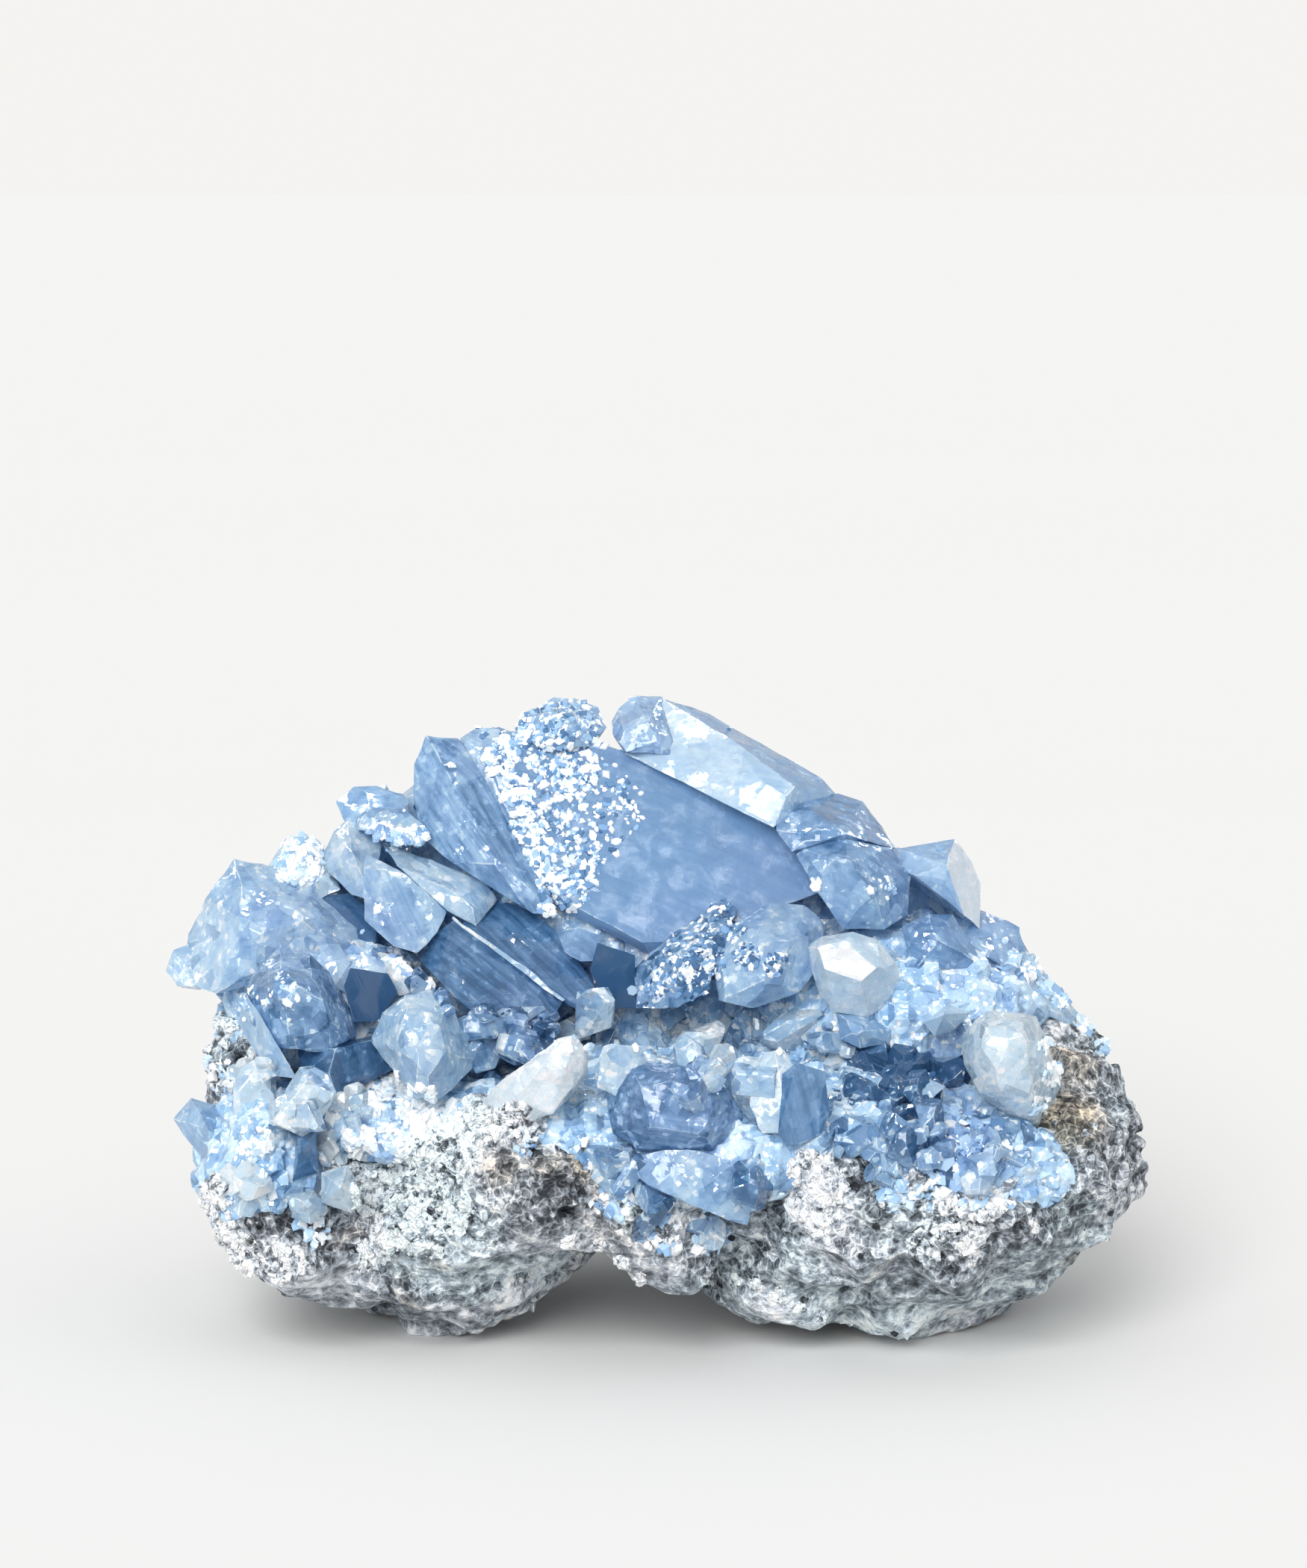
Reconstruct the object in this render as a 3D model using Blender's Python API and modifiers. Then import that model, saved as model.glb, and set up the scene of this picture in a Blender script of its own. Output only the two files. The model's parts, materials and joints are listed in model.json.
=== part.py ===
"""Celestite geode: a lumpy rock shell on two rounded feet, with a crust of blue crystals grown over it.

Run it with blender --background --python part.py. Lengths are in millimetres of the real stone, and the
model is built in metres, +Z up. Seen from the front, along +Y, the stone's right side is at +X.
The origin is the middle of the stone's box, on the surface that it stands on.
"""

import math
from dataclasses import dataclass
from random import Random

import bmesh
import bpy
from mathutils import Matrix, Vector

# The stone's width in millimetres sets its size. Every length below is given for the drawn width.
WIDTH = 140.0
DRAWN_WIDTH = 140.0
MM = 0.001 * WIDTH / DRAWN_WIDTH

# The rock shell
ROCK_VOXEL = 2.0  # size of the grid that melts the lobes into one lump
ROCK_SMOOTHING = 8
ROCK_TRIANGLES = 2340
HOLLOW_SIDES = 22  # the hollow is hidden by the crust, so a few flat facets do
FOOT_DEPTH = 1.8  # how much of each foot's round bottom is worn away flat

# The crust of crystals
BED_VOXEL = 3.0
BED_TRIANGLES = 340
GAP = 0.3  # clearance between the crust and the rock that it sits on
SEED = 7


@dataclass
class Lobe:
    """A rounded swelling of rock or crust: an ellipsoid, with its centre and its three half-sizes."""

    centre: tuple
    radii: tuple
    lean: float = 0.0  # degrees about the Y axis, positive lifts the +X end


@dataclass
class Lumps:
    """One size of lump on the rock: how far apart the lumps are, and how high from pit to top."""

    spacing: float
    height: float
    kind: str = "CLOUDS"


@dataclass
class Crystal:
    """One large crystal, from the root that is hidden in the crust to its tip."""

    tip: tuple
    root: tuple
    width: float
    thickness: float
    roll: float = 0.0
    habit: str = "block"


@dataclass
class Spray:
    """A group of small crystals that grew from one patch of the crust."""

    centre: tuple
    spread: tuple
    direction: tuple
    count: int
    size: float


ROCK_LUMPS = {
    "knobs": Lumps(13, 7.5),
    "ledges": Lumps(6, 4.2, "VORONOI"),
}

ROCK_LOBES = {
    "left_foot": Lobe((-30, 0, 16.5), (21, 36, 18.5)),
    "left_cheek": Lobe((-49.5, -8, 19), (14.5, 28, 16)),
    "left_shoulder": Lobe((-55, 4, 32), (8.5, 23, 13.5)),
    "left_rise": Lobe((-21, -31, 25), (15, 11.5, 12.5)),
    "bridge": Lobe((0, -2, 26), (34, 37, 14)),
    "bridge_nub": Lobe((0, -32, 16), (6, 7, 6.5)),
    "right_foot": Lobe((36, 0, 18.5), (28, 38, 20.5)),
    "right_keel": Lobe((19, -7, 14), (13, 28, 14)),
    "right_cheek": Lobe((53, -3, 24), (15.5, 32, 17)),
    "right_rise": Lobe((36, -33, 20), (20, 10, 11)),
    "back_wall": Lobe((-2, 24, 35), (55, 22, 28)),
}
HOLLOWS = {
    "main_hollow": Lobe((0, -7, 66), (57, 33, 36)),
    "right_pocket": Lobe((36, -18, 48), (19, 13, 18)),
}
ARCH = Lobe((-6.5, 0, -1), (13, 75, 12.5))

CRUST_LOBES = {
    "floor": Lobe((-2, -8, 32), (58, 31, 8)),
    "right_floor": Lobe((36, -18, 30), (20, 14, 6)),
    "mound": Lobe((-4, 12, 46), (40, 17, 24)),
    "left_bank": Lobe((-46, 4, 42), (17, 20, 14)),
    "right_bank": Lobe((34, 4, 42), (24, 20, 15)),
    "left_lip": Lobe((-54, -21, 27), (10, 14, 10)),
    "front_lip": Lobe((4, -32, 30), (20, 8, 7)),
    "right_lip": Lobe((44, -31, 27), (14, 8, 7)),
}

CRYSTALS = [
    # The ridge, from left to right
    Crystal((-31, 9, 83.5), (-19, 1, 60.5), 11, 9, 12, "blade"),
    Crystal((-24.5, 10, 84), (-19, 6, 70), 9, 9, 30, "block"),
    Crystal((-13.5, 12, 87.5), (-12, 8, 74.5), 13, 12, 15, "dome"),
    Crystal((-26, 2, 77.5), (20, 2, 54), 24, 17, -8, "slab"),
    Crystal((-1, 13, 88), (0.5, 8, 74), 9, 8.5, 20, "block"),
    Crystal((3.5, 10, 82.5), (25, 6, 69), 11, 11, 42, "blade"),
    Crystal((26.5, 5, 73), (21, 2, 58), 15, 14, 12, "block"),
    Crystal((18, 0, 69), (14.5, 4, 56.5), 9, 8, 30, "block"),
    Crystal((42, 1, 69), (31, 2, 57), 15, 13, 28, "block"),
    Crystal((50.5, 4, 54.5), (41.5, 2, 49), 10, 9, 20, "block"),
    Crystal((56.5, 2, 50.5), (47, 2, 44), 9, 8, 35, "block"),
    Crystal((62.5, 0, 44.5), (54, 2, 39), 9, 8, 20, "block"),
    # The left slope
    Crystal((-46, 10, 74.5), (-32.5, 8, 67.5), 9, 4, 64, "blade"),
    Crystal((-40, 4, 71), (-32.5, 8, 63.5), 8, 8, 10, "point"),
    Crystal((-34, 4, 70.5), (-29.5, 6, 60.5), 8, 8, 30, "point"),
    Crystal((-46, 0, 70), (-30, -5, 56), 11, 9, 18, "blade"),
    Crystal((-23, -6, 59.5), (-38.5, -1, 69.5), 8.5, 8, 24, "blade"),
    Crystal((-51.5, 4, 69), (-47, 4, 56.5), 8, 8, 0, "point"),
    Crystal((-60.5, -3, 66.5), (-54.5, 1, 49), 14, 12, 10, "dome"),
    Crystal((-51, -9, 62), (-47.5, -2, 47.5), 11, 10, 30, "block"),
    Crystal((-44.5, -5, 60.5), (-40.5, 0, 46), 10, 9, 10, "block"),
    Crystal((-44, -14, 56), (-50.5, -4, 46), 9, 8, 15, "block"),
    Crystal((-69.5, -5, 51.5), (-61.5, 0, 47), 7, 6, 10, "point"),
    Crystal((-67.5, -6, 55), (-60.5, 0, 50.5), 7, 6, 30, "point"),
    Crystal((-67.5, -10, 49), (-60.5, -2, 46.5), 6, 6, 30, "point"),
    # The hollow, left side
    Crystal((-33.5, -8, 59.5), (-17, -14, 45.5), 10, 9, 14, "blade"),
    Crystal((-25, -5, 61.5), (-6.5, -8, 43.5), 12, 10, 6, "blade"),
    Crystal((-8, -9, 56.5), (-14, -4, 54.5), 6, 4, 0, "point"),
    Crystal((-50, -28, 58), (-45, -14, 39), 15.5, 14, 20, "dome"),
    Crystal((-36.5, -26, 44), (-50, -16, 38.5), 10, 9, 15, "block"),
    Crystal((-32, -33, 54), (-27.5, -22, 34.5), 15, 13, 8, "dome"),
    Crystal((-21.5, -32, 45.5), (-28.5, -22, 38.5), 9, 8, 25, "block"),
    # The hollow, right side
    Crystal((9, -8, 62), (-2.5, -12, 43), 13, 13, 20, "block"),
    Crystal((-2, -13, 56), (2.5, -14, 41.5), 11, 9, 25, "block"),
    Crystal((18, -8, 61), (12, -8, 47.5), 14, 12, 10, "dome"),
    Crystal((11.5, -18, 54), (9, -12, 41), 11, 10, 35, "block"),
    Crystal((28.5, -20, 59), (24, -10, 43.5), 13, 12, 20, "dome"),
    Crystal((31.5, -22, 50), (24.5, -14, 41.5), 9, 8, 25, "block"),
    Crystal((35, -16, 52), (33.5, -10, 40.5), 7, 7, 10, "point"),
    Crystal((35, -6, 65), (27.5, 0, 52), 14, 13, 14, "block"),
    Crystal((44, -6, 58.5), (35, 0, 48.5), 12, 11, 22, "block"),
    Crystal((48, -10, 52), (39, -4, 47), 9, 8, 35, "block"),
    Crystal((47, -36, 51.5), (54, -20, 32), 14, 13.5, 8, "dome"),
    Crystal((44, -21, 49), (37.5, -14, 42), 7, 5, 30, "point"),
    Crystal((35, -18, 39.5), (32.5, -10, 31), 8, 7, 30, "point"),
    Crystal((41, -24, 37), (48, -16, 32), 8, 7, 10, "point"),
    # The floor between the mound and the lip
    Crystal((-0.5, -22, 46), (-1.5, -12, 35.5), 7, 6, 40, "point"),
    Crystal((5.5, -24, 45), (9, -14, 35), 8, 7, 20, "point"),
    Crystal((17, -24, 48.5), (11, -14, 39), 7, 6, 30, "blade"),
    Crystal((-12, -20, 47.5), (-14, -12, 36.5), 8, 7, 10, "point"),
    Crystal((21.5, -24, 45.5), (24.5, -14, 36), 7, 6, 50, "point"),
    # The front lip
    Crystal((-67, -20, 33), (-54, -17, 29), 10, 9, 40, "point"),
    Crystal((-50, -40, 40.5), (-49, -28, 28.5), 7, 7, 20, "point"),
    Crystal((-55, -38, 35), (-52, -28, 23), 8, 8, 10, "point"),
    Crystal((-47.5, -41, 35.5), (-47, -30, 23.5), 5, 5, 0, "point"),
    Crystal((-59, -30, 28), (-55.5, -22, 21.5), 8, 7, 20, "point"),
    Crystal((-44, -41, 32), (-44.5, -32, 23), 6, 5, 30, "point"),
    Crystal((-9, -39, 48), (-19, -31, 33), 10, 8, 14, "blade"),
    Crystal((-4.5, -40, 47), (-7.5, -30, 32), 8, 8, 10, "point"),
    Crystal((0.5, -41, 44.5), (-0.5, -30, 32), 9, 8, 30, "block"),
    Crystal((5.5, -44, 44.5), (2, -28, 26), 17, 13, 6, "dome"),
    Crystal((11, -42, 40.5), (6.5, -28, 27.5), 9, 9, 20, "block"),
    Crystal((0.5, -45, 34), (1.5, -34, 25.5), 10, 8, 10, "block"),
    Crystal((15.5, -40, 46), (15, -32, 31), 6, 6, 10, "point"),
    Crystal((20.5, -41, 44.5), (20.5, -29, 27.5), 9, 9, 0, "block"),
    Crystal((27.5, -34, 42.5), (26.5, -26, 30), 8, 8, 30, "point"),
    Crystal((31.5, -42, 38), (33.5, -32, 27), 9, 8, 10, "block"),
    Crystal((39, -42, 39), (39.5, -32, 28.5), 10, 9, 30, "block"),
    Crystal((46.5, -40, 37), (46.5, -30, 27), 10, 9, 15, "block"),
    Crystal((52, -36, 35.5), (51, -26, 26), 7, 7, 15, "point"),
    # The far side of the ridge, in two uneven tiers
    Crystal((-45, 18, 67), (-37, 9, 50), 12, 11, 20, "block"),
    Crystal((-33, 21, 75), (-27, 10, 56), 15, 9, 65, "blade"),
    Crystal((-19, 21, 80), (-14, 9, 60), 14, 12, 10, "block"),
    Crystal((-3, 28, 77), (-7, 12, 57), 18, 14, -20, "block"),
    Crystal((12, 22, 78), (7, 9, 60), 13, 11, 35, "block"),
    Crystal((25, 26, 70), (17, 12, 53), 17, 13, 30, "dome"),
    Crystal((39, 18, 63), (31, 7, 49), 13, 12, 5, "block"),
    Crystal((-57, 16, 53), (-48, 9, 42), 8, 8, 40, "point"),
    Crystal((-44, 29, 60), (-36, 16, 46), 14, 11, 15, "block"),
    Crystal((-29, 34, 66), (-24, 20, 50), 11, 10, 35, "block"),
    Crystal((-15, 36, 69), (-13, 20, 52), 17, 11, 60, "blade"),
    Crystal((8, 36, 69), (5, 20, 53), 14, 13, 25, "block"),
    Crystal((21, 35, 63), (16, 22, 50), 10, 9, 10, "point"),
    Crystal((36, 28, 60), (28, 15, 46), 15, 12, 50, "block"),
    Crystal((52, 16, 53), (43, 8, 42), 12, 11, 20, "block"),
]

SPRAYS = [
    Spray((-58, -16, 38), (4, 7, 6), (-0.7, -0.6, 0.4), 4, 5.5),
    Spray((-56, -31, 30), (5, 4, 4), (-0.3, -0.9, 0.3), 3, 6),
    Spray((-42, -29, 34), (8, 4, 3), (0, -0.7, 0.7), 4, 6),
    Spray((0, -18, 39), (20, 6, 2), (0, -0.5, 0.9), 4, 6),
    Spray((36, -22, 34), (12, 6, 3), (0, -0.6, 0.8), 5, 6),
    Spray((56, -2, 40), (5, 8, 2), (0.6, -0.2, 0.8), 3, 6),
    Spray((47, 12, 46), (7, 6, 3), (0.5, 0.3, 0.8), 2, 7),
]

# Face normals of celestite's own forms, for a crystal that is long along Z and flat across Y
SIDE_FACES = ((0.79, 0.61, 0.0), (-0.79, 0.61, 0.0), (0.79, -0.61, 0.0), (-0.79, -0.61, 0.0))
CHISEL_FACES = ((0.62, 0.0, 0.79), (-0.62, 0.0, 0.79))
SHOULDER_FACES = ((0.0, 0.77, 0.64), (0.0, -0.77, 0.64))
SIDE_REACH = {"blade": 0.80, "block": 0.84, "slab": 0.9, "point": 0.96, "dome": 0.76}
APEX_LIFT = {"blade": 0.10, "block": 0.16, "slab": 0.0, "point": 0.06, "dome": 0.12}
CORNER_FACES = ((0.55, 0.55, 0.63), (-0.55, 0.55, 0.63), (0.55, -0.55, 0.63), (-0.55, -0.55, 0.63))


ROCK_COLOUR = (0.40, 0.40, 0.38)
ROCK_ROUGHNESS = 0.95
CRYSTAL_COLOUR = (0.33, 0.50, 0.76)
CRYSTAL_ROUGHNESS = 0.12


def clear_scene():
    """Removes what the start-up scene holds."""
    for obj in list(bpy.data.objects):
        bpy.data.objects.remove(obj, do_unlink=True)


def make_collection(name):
    """Returns a new collection, linked to the scene."""
    collection = bpy.data.collections.new(name)
    bpy.context.scene.collection.children.link(collection)
    return collection


def add_object(name, bm, collection):
    """Turns a bmesh into an object in the collection and frees the bmesh."""
    mesh = bpy.data.meshes.new(name)
    bm.to_mesh(mesh)
    bm.free()
    obj = bpy.data.objects.new(name, mesh)
    collection.objects.link(obj)
    return obj


def hide_helper(obj):
    """Marks a cutter or a guide, which is no part of the stone."""
    obj.hide_render = True
    obj.display_type = "WIRE"
    return obj


def bake(obj):
    """Gives an object the mesh that its modifiers make, and clears the modifiers."""
    graph = bpy.context.evaluated_depsgraph_get()
    mesh = bpy.data.meshes.new_from_object(obj.evaluated_get(graph))
    obj.modifiers.clear()
    obj.data = mesh
    return obj


def keep_largest_shell(obj):
    """Deletes loose chips, such as a crystal's root that shows beyond the rock."""
    bm = bmesh.new()
    bm.from_mesh(obj.data)
    unseen = set(bm.verts)
    shells = []
    while unseen:
        shell, front = set(), [unseen.pop()]
        while front:
            vert = front.pop()
            shell.add(vert)
            for edge in vert.link_edges:
                other = edge.other_vert(vert)
                if other in unseen:
                    unseen.discard(other)
                    front.append(other)
        shells.append(shell)
    shells.sort(key=len)
    chips = [vert for shell in shells[:-1] for vert in shell]
    bmesh.ops.delete(bm, geom=chips, context="VERTS")
    bm.to_mesh(obj.data)
    bm.free()


def add_lobe(bm, lobe, sides=32):
    """Adds an ellipsoid to the bmesh."""
    place = (
        Matrix.Translation(Vector(lobe.centre) * MM)
        @ Matrix.Rotation(math.radians(-lobe.lean), 4, "Y")
        @ Matrix.Diagonal((*(radius * MM for radius in lobe.radii), 1.0))
    )
    bmesh.ops.create_uvsphere(bm, u_segments=sides, v_segments=sides // 2, radius=1.0, matrix=place)


def melted_lobes(name, lobes, collection, voxel):
    """Melts overlapping lobes into one smooth lump."""
    bm = bmesh.new()
    for lobe in lobes.values():
        add_lobe(bm, lobe)
    lump = add_object(name, bm, collection)
    remesh = lump.modifiers.new("melt", "REMESH")
    remesh.mode = "VOXEL"
    remesh.voxel_size = voxel * MM
    return lump


def make_cutter(name, lobe, helpers, sides=32):
    """Makes an ellipsoid that hollows the rock."""
    bm = bmesh.new()
    add_lobe(bm, lobe, sides)
    return hide_helper(add_object(name, bm, helpers))


def add_boolean(obj, other, operation):
    """Adds a Boolean modifier that joins or cuts with another object."""
    modifier = obj.modifiers.new(operation.lower(), "BOOLEAN")
    modifier.operation = operation
    modifier.object = other
    return modifier


def make_rock(stone, helpers):
    """The rock shell: melted lobes, arched below, lumpy all over, hollowed on top, worn flat under the feet."""
    rock = melted_lobes("rock_shell", ROCK_LOBES, stone, ROCK_VOXEL)
    add_boolean(rock, make_cutter("arch_cutter", ARCH, helpers), "DIFFERENCE")
    remesh = rock.modifiers.new("melt_cuts", "REMESH")
    remesh.mode = "VOXEL"
    remesh.voxel_size = ROCK_VOXEL * MM
    smooth = rock.modifiers.new("soften", "SMOOTH")
    smooth.factor = 0.5
    smooth.iterations = ROCK_SMOOTHING
    for name, lumps in ROCK_LUMPS.items():
        add_lumps(rock, name, lumps)
    bake(rock)
    reduce_triangles(rock, ROCK_TRIANGLES)
    bake(rock)
    for name, hollow in HOLLOWS.items():
        add_boolean(rock, make_cutter(name, hollow, helpers, HOLLOW_SIDES), "DIFFERENCE")
    bake(rock)
    keep_largest_shell(rock)
    wear_feet_flat(rock)
    return rock


def add_lumps(rock, name, lumps):
    """Raises and sinks the rock's surface in lumps of one size."""
    texture = bpy.data.textures.new(name, lumps.kind)
    texture.noise_scale = lumps.spacing * MM
    displace = rock.modifiers.new(name, "DISPLACE")
    displace.texture = texture
    displace.texture_coords = "LOCAL"
    displace.strength = lumps.height * MM
    displace.mid_level = 0.5


def reduce_triangles(obj, target):
    """Decimates an object to about the target number of triangles."""
    obj.data.calc_loop_triangles()
    decimate = obj.modifiers.new("reduce", "DECIMATE")
    decimate.ratio = min(1.0, target / len(obj.data.loop_triangles))


def wear_feet_flat(rock):
    """Cuts the lowest part of the feet off flat, and sets the rock down on the cut."""
    bm = bmesh.new()
    bm.from_mesh(rock.data)
    floor = min(v.co.z for v in bm.verts) + FOOT_DEPTH * MM
    cut_flat(bm, Vector((0, 0, floor)), Vector((0, 0, -1)))
    bmesh.ops.translate(bm, vec=(0, 0, -floor), verts=bm.verts)
    bmesh.ops.triangulate(bm, faces=bm.faces)
    bm.to_mesh(rock.data)
    bm.free()


def cut_flat(bm, point, normal):
    """Cuts off what lies beyond a plane and closes the cut with flat faces."""
    cut = bmesh.ops.bisect_plane(
        bm,
        geom=bm.verts[:] + bm.edges[:] + bm.faces[:],
        dist=1e-7,
        plane_co=point,
        plane_no=normal,
        clear_outer=True,
    )
    rim = [e for e in cut["geom_cut"] if isinstance(e, bmesh.types.BMEdge)]
    bmesh.ops.holes_fill(bm, edges=rim, sides=0)


def habit_cuts(habit, width, thickness, length, rng):
    """Yields the planes that turn a block into a crystal of this habit, as a point and a normal.

    A face keeps its angle on every crystal. Only how far it is from the middle differs.
    """
    middle = Vector((0, 0, length / 2))
    for face in SIDE_FACES:
        normal = Vector(face).normalized()
        reach = abs(normal.x) * width / 2
        if habit != "point":
            reach += abs(normal.y) * thickness / 2
        yield middle + normal * reach * (SIDE_REACH[habit] + rng.uniform(-0.06, 0.08)), normal
    apex = Vector((0, 0, length + APEX_LIFT[habit] * width))
    for face in CHISEL_FACES:
        yield apex - Vector((0, 0, rng.uniform(0, 0.16) * width)), Vector(face).normalized()
    if habit == "point":
        return
    for face in SHOULDER_FACES:
        yield apex - Vector((0, 0, rng.uniform(-0.04, 0.18) * thickness)), Vector(face).normalized()
    if habit == "dome":
        for face in CORNER_FACES:
            yield apex - Vector((0, 0, rng.uniform(0.0, 0.12) * width)), Vector(face).normalized()


def crystal_bmesh(width, thickness, length, habit, rng):
    """Cuts one crystal, root at the origin and tip along +Z, out of a block."""
    bm = bmesh.new()
    block = Matrix.Translation((0, 0, length / 2)) @ Matrix.Diagonal((width, thickness, length, 1))
    bmesh.ops.create_cube(bm, size=1.0, matrix=block)
    for point, normal in habit_cuts(habit, width, thickness, length, rng):
        cut_flat(bm, point, normal)
    return bm


def crystal_frame(root, axis, roll):
    """The matrix that stands a crystal on its root, with its flat face towards the viewer at roll 0."""
    up = axis.normalized()
    towards_viewer = Vector((0.0, -1.0, 0.0))
    if abs(up.dot(towards_viewer)) > 0.92:
        towards_viewer = Vector((0.0, -0.2, 1.0))
    face = (towards_viewer - up * towards_viewer.dot(up)).normalized()
    side = face.cross(up)
    turned = Matrix((side, face, up)).transposed().to_4x4()
    return Matrix.Translation(root) @ turned @ Matrix.Rotation(math.radians(roll), 4, "Z")


def grow(name, crystal, rng, helpers):
    """Makes one crystal as an object among the helpers, which the crust is joined from."""
    tip, root = Vector(crystal.tip) * MM, Vector(crystal.root) * MM
    axis = tip - root
    bm = crystal_bmesh(
        crystal.width * MM, crystal.thickness * MM, axis.length, crystal.habit, rng
    )
    bm.transform(crystal_frame(root, axis, crystal.roll))
    return hide_helper(add_object(name, bm, helpers))


def spray_crystals(spray, rng):
    """Yields the small crystals of one spray."""
    for _ in range(spray.count):
        offset = Vector([rng.uniform(-reach, reach) for reach in spray.spread])
        lean = Vector([rng.gauss(0, 0.35) for _ in range(3)])
        axis = (Vector(spray.direction).normalized() + lean).normalized()
        size = spray.size * rng.uniform(0.7, 1.35)
        tip = Vector(spray.centre) + offset + axis * size * 0.6
        root = tip - axis * size * 1.7
        yield Crystal(tuple(tip), tuple(root), size, size * rng.uniform(0.7, 1.0), rng.uniform(0, 90), "point")


def make_crust(rock, stone, helpers):
    """The crystals and the layer that they grew from, joined in one solid and seated on the rock."""
    rng = Random(SEED)
    crust = melted_lobes("crystal_crust", CRUST_LOBES, stone, BED_VOXEL)
    smooth = crust.modifiers.new("soften", "SMOOTH")
    smooth.iterations = 4
    bake(crust)
    reduce_triangles(crust, BED_TRIANGLES)
    bake(crust)
    grown = list(CRYSTALS)
    for spray in SPRAYS:
        grown.extend(spray_crystals(spray, rng))
    clusters = make_collection("crystals")
    for number, crystal in enumerate(grown):
        grow(f"crystal_{number:03d}", crystal, rng, clusters)
    union = crust.modifiers.new("grow", "BOOLEAN")
    union.operation = "UNION"
    union.operand_type = "COLLECTION"
    union.collection = clusters
    add_boolean(crust, rock_seat(rock, helpers), "DIFFERENCE")
    bake(crust)
    keep_largest_shell(crust)
    return crust


def rock_seat(rock, helpers):
    """A copy of the rock, swollen by the gap, that cuts the crust's seat."""
    bm = bmesh.new()
    bm.from_mesh(rock.data)
    bm.normal_update()
    for vert in bm.verts:
        vert.co += vert.normal * GAP * MM
    return hide_helper(add_object("rock_seat", bm, helpers))


def paint(obj, colour, roughness):
    """Gives an object its one material."""
    material = bpy.data.materials.new(obj.name)
    material.use_nodes = True
    shader = material.node_tree.nodes["Principled BSDF"]
    shader.inputs["Base Color"].default_value = (*colour, 1.0)
    shader.inputs["Roughness"].default_value = roughness
    shader.inputs["Metallic"].default_value = 0.0
    obj.data.materials.clear()
    obj.data.materials.append(material)


def centre_on_box(objects):
    """Moves the stone so that the origin is the middle of its box, on the surface below it."""
    corners = [vert.co for obj in objects for vert in obj.data.vertices]
    low = Vector([min(co[i] for co in corners) for i in range(3)])
    high = Vector([max(co[i] for co in corners) for i in range(3)])
    middle = (low + high) / 2
    shift = Matrix.Translation((-middle.x, -middle.y, -low.z))
    for obj in objects:
        obj.data.transform(shift)


def main():
    """Builds the stone."""
    clear_scene()
    stone = make_collection("celestite_geode")
    helpers = make_collection("helpers")
    rock = make_rock(stone, helpers)
    crust = make_crust(rock, stone, helpers)
    paint(rock, ROCK_COLOUR, ROCK_ROUGHNESS)
    paint(crust, CRYSTAL_COLOUR, CRYSTAL_ROUGHNESS)
    centre_on_box([rock, crust])


main()
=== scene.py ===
"""Looks of the celestite geode: crumbly grey rock on two rounded feet, under a crust of clear blue crystals.

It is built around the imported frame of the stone. Lengths are in millimetres unless a docstring says metres,
and MM turns millimetres into metres. The front of the stone looks along -Y, and +Z is up.
"""

import json
import logging
import math
from dataclasses import dataclass, field
from enum import Enum
from random import Random
from typing import Callable, Iterable, Iterator

import bmesh
import bpy
from mathutils import Matrix, Vector, noise
from mathutils.bvhtree import BVHTree

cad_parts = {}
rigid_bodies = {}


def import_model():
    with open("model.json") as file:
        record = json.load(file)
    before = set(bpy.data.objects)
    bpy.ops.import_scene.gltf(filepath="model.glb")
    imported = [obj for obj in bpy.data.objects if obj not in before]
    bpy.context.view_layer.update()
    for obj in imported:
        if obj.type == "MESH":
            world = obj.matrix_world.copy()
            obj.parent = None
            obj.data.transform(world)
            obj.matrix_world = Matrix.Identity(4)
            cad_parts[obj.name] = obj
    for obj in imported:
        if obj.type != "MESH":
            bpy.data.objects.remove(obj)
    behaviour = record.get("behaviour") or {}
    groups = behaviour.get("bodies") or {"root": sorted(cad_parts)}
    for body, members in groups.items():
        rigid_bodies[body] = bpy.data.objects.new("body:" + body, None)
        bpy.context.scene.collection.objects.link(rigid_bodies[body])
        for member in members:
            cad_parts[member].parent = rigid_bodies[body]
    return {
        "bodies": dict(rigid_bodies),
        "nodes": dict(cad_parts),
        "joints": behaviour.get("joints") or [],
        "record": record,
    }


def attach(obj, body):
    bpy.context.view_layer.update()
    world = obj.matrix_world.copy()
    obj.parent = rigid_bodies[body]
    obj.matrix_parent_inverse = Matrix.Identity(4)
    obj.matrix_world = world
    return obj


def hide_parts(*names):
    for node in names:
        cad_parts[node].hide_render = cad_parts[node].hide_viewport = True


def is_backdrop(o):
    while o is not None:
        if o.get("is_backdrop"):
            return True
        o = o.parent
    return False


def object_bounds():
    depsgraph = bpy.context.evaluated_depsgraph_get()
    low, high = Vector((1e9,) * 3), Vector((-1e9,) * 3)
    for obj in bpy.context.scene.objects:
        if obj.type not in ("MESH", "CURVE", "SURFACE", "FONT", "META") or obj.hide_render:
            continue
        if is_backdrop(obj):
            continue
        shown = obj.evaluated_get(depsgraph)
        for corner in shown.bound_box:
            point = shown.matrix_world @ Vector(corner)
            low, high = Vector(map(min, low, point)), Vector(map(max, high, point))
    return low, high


LOG = logging.getLogger("celestite_geode")
MM = 0.001
ROOT_BODY = "root"
SEED = 11

# Faces that meet at less than the first angle are made one. Edges sharper than the second get a bright rim:
# partly the white of chipped edges, partly a painted highlight.
SAME_FACE_ANGLE = math.radians(9.0)
RIM_ANGLE = math.radians(26)
# Edges of the finished crystals that are shaded as sharp
SHADING_ANGLE = math.radians(18)
RIM_WIDTH = 0.11
SHARD_RIM_WIDTH = 0.018
# How thick the slices are that a crystal is cut into before its faces are bent a little
SLICE = 1.8
CHIP_DEPTH = 0.9

# How many loose small pieces are tried, besides the ones in the patches
LOOSE_SHARDS = 420
LOOSE_GLITTER = 2600
LOOSE_CRUMBS = 3400

Triple = tuple[float, float, float]

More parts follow.
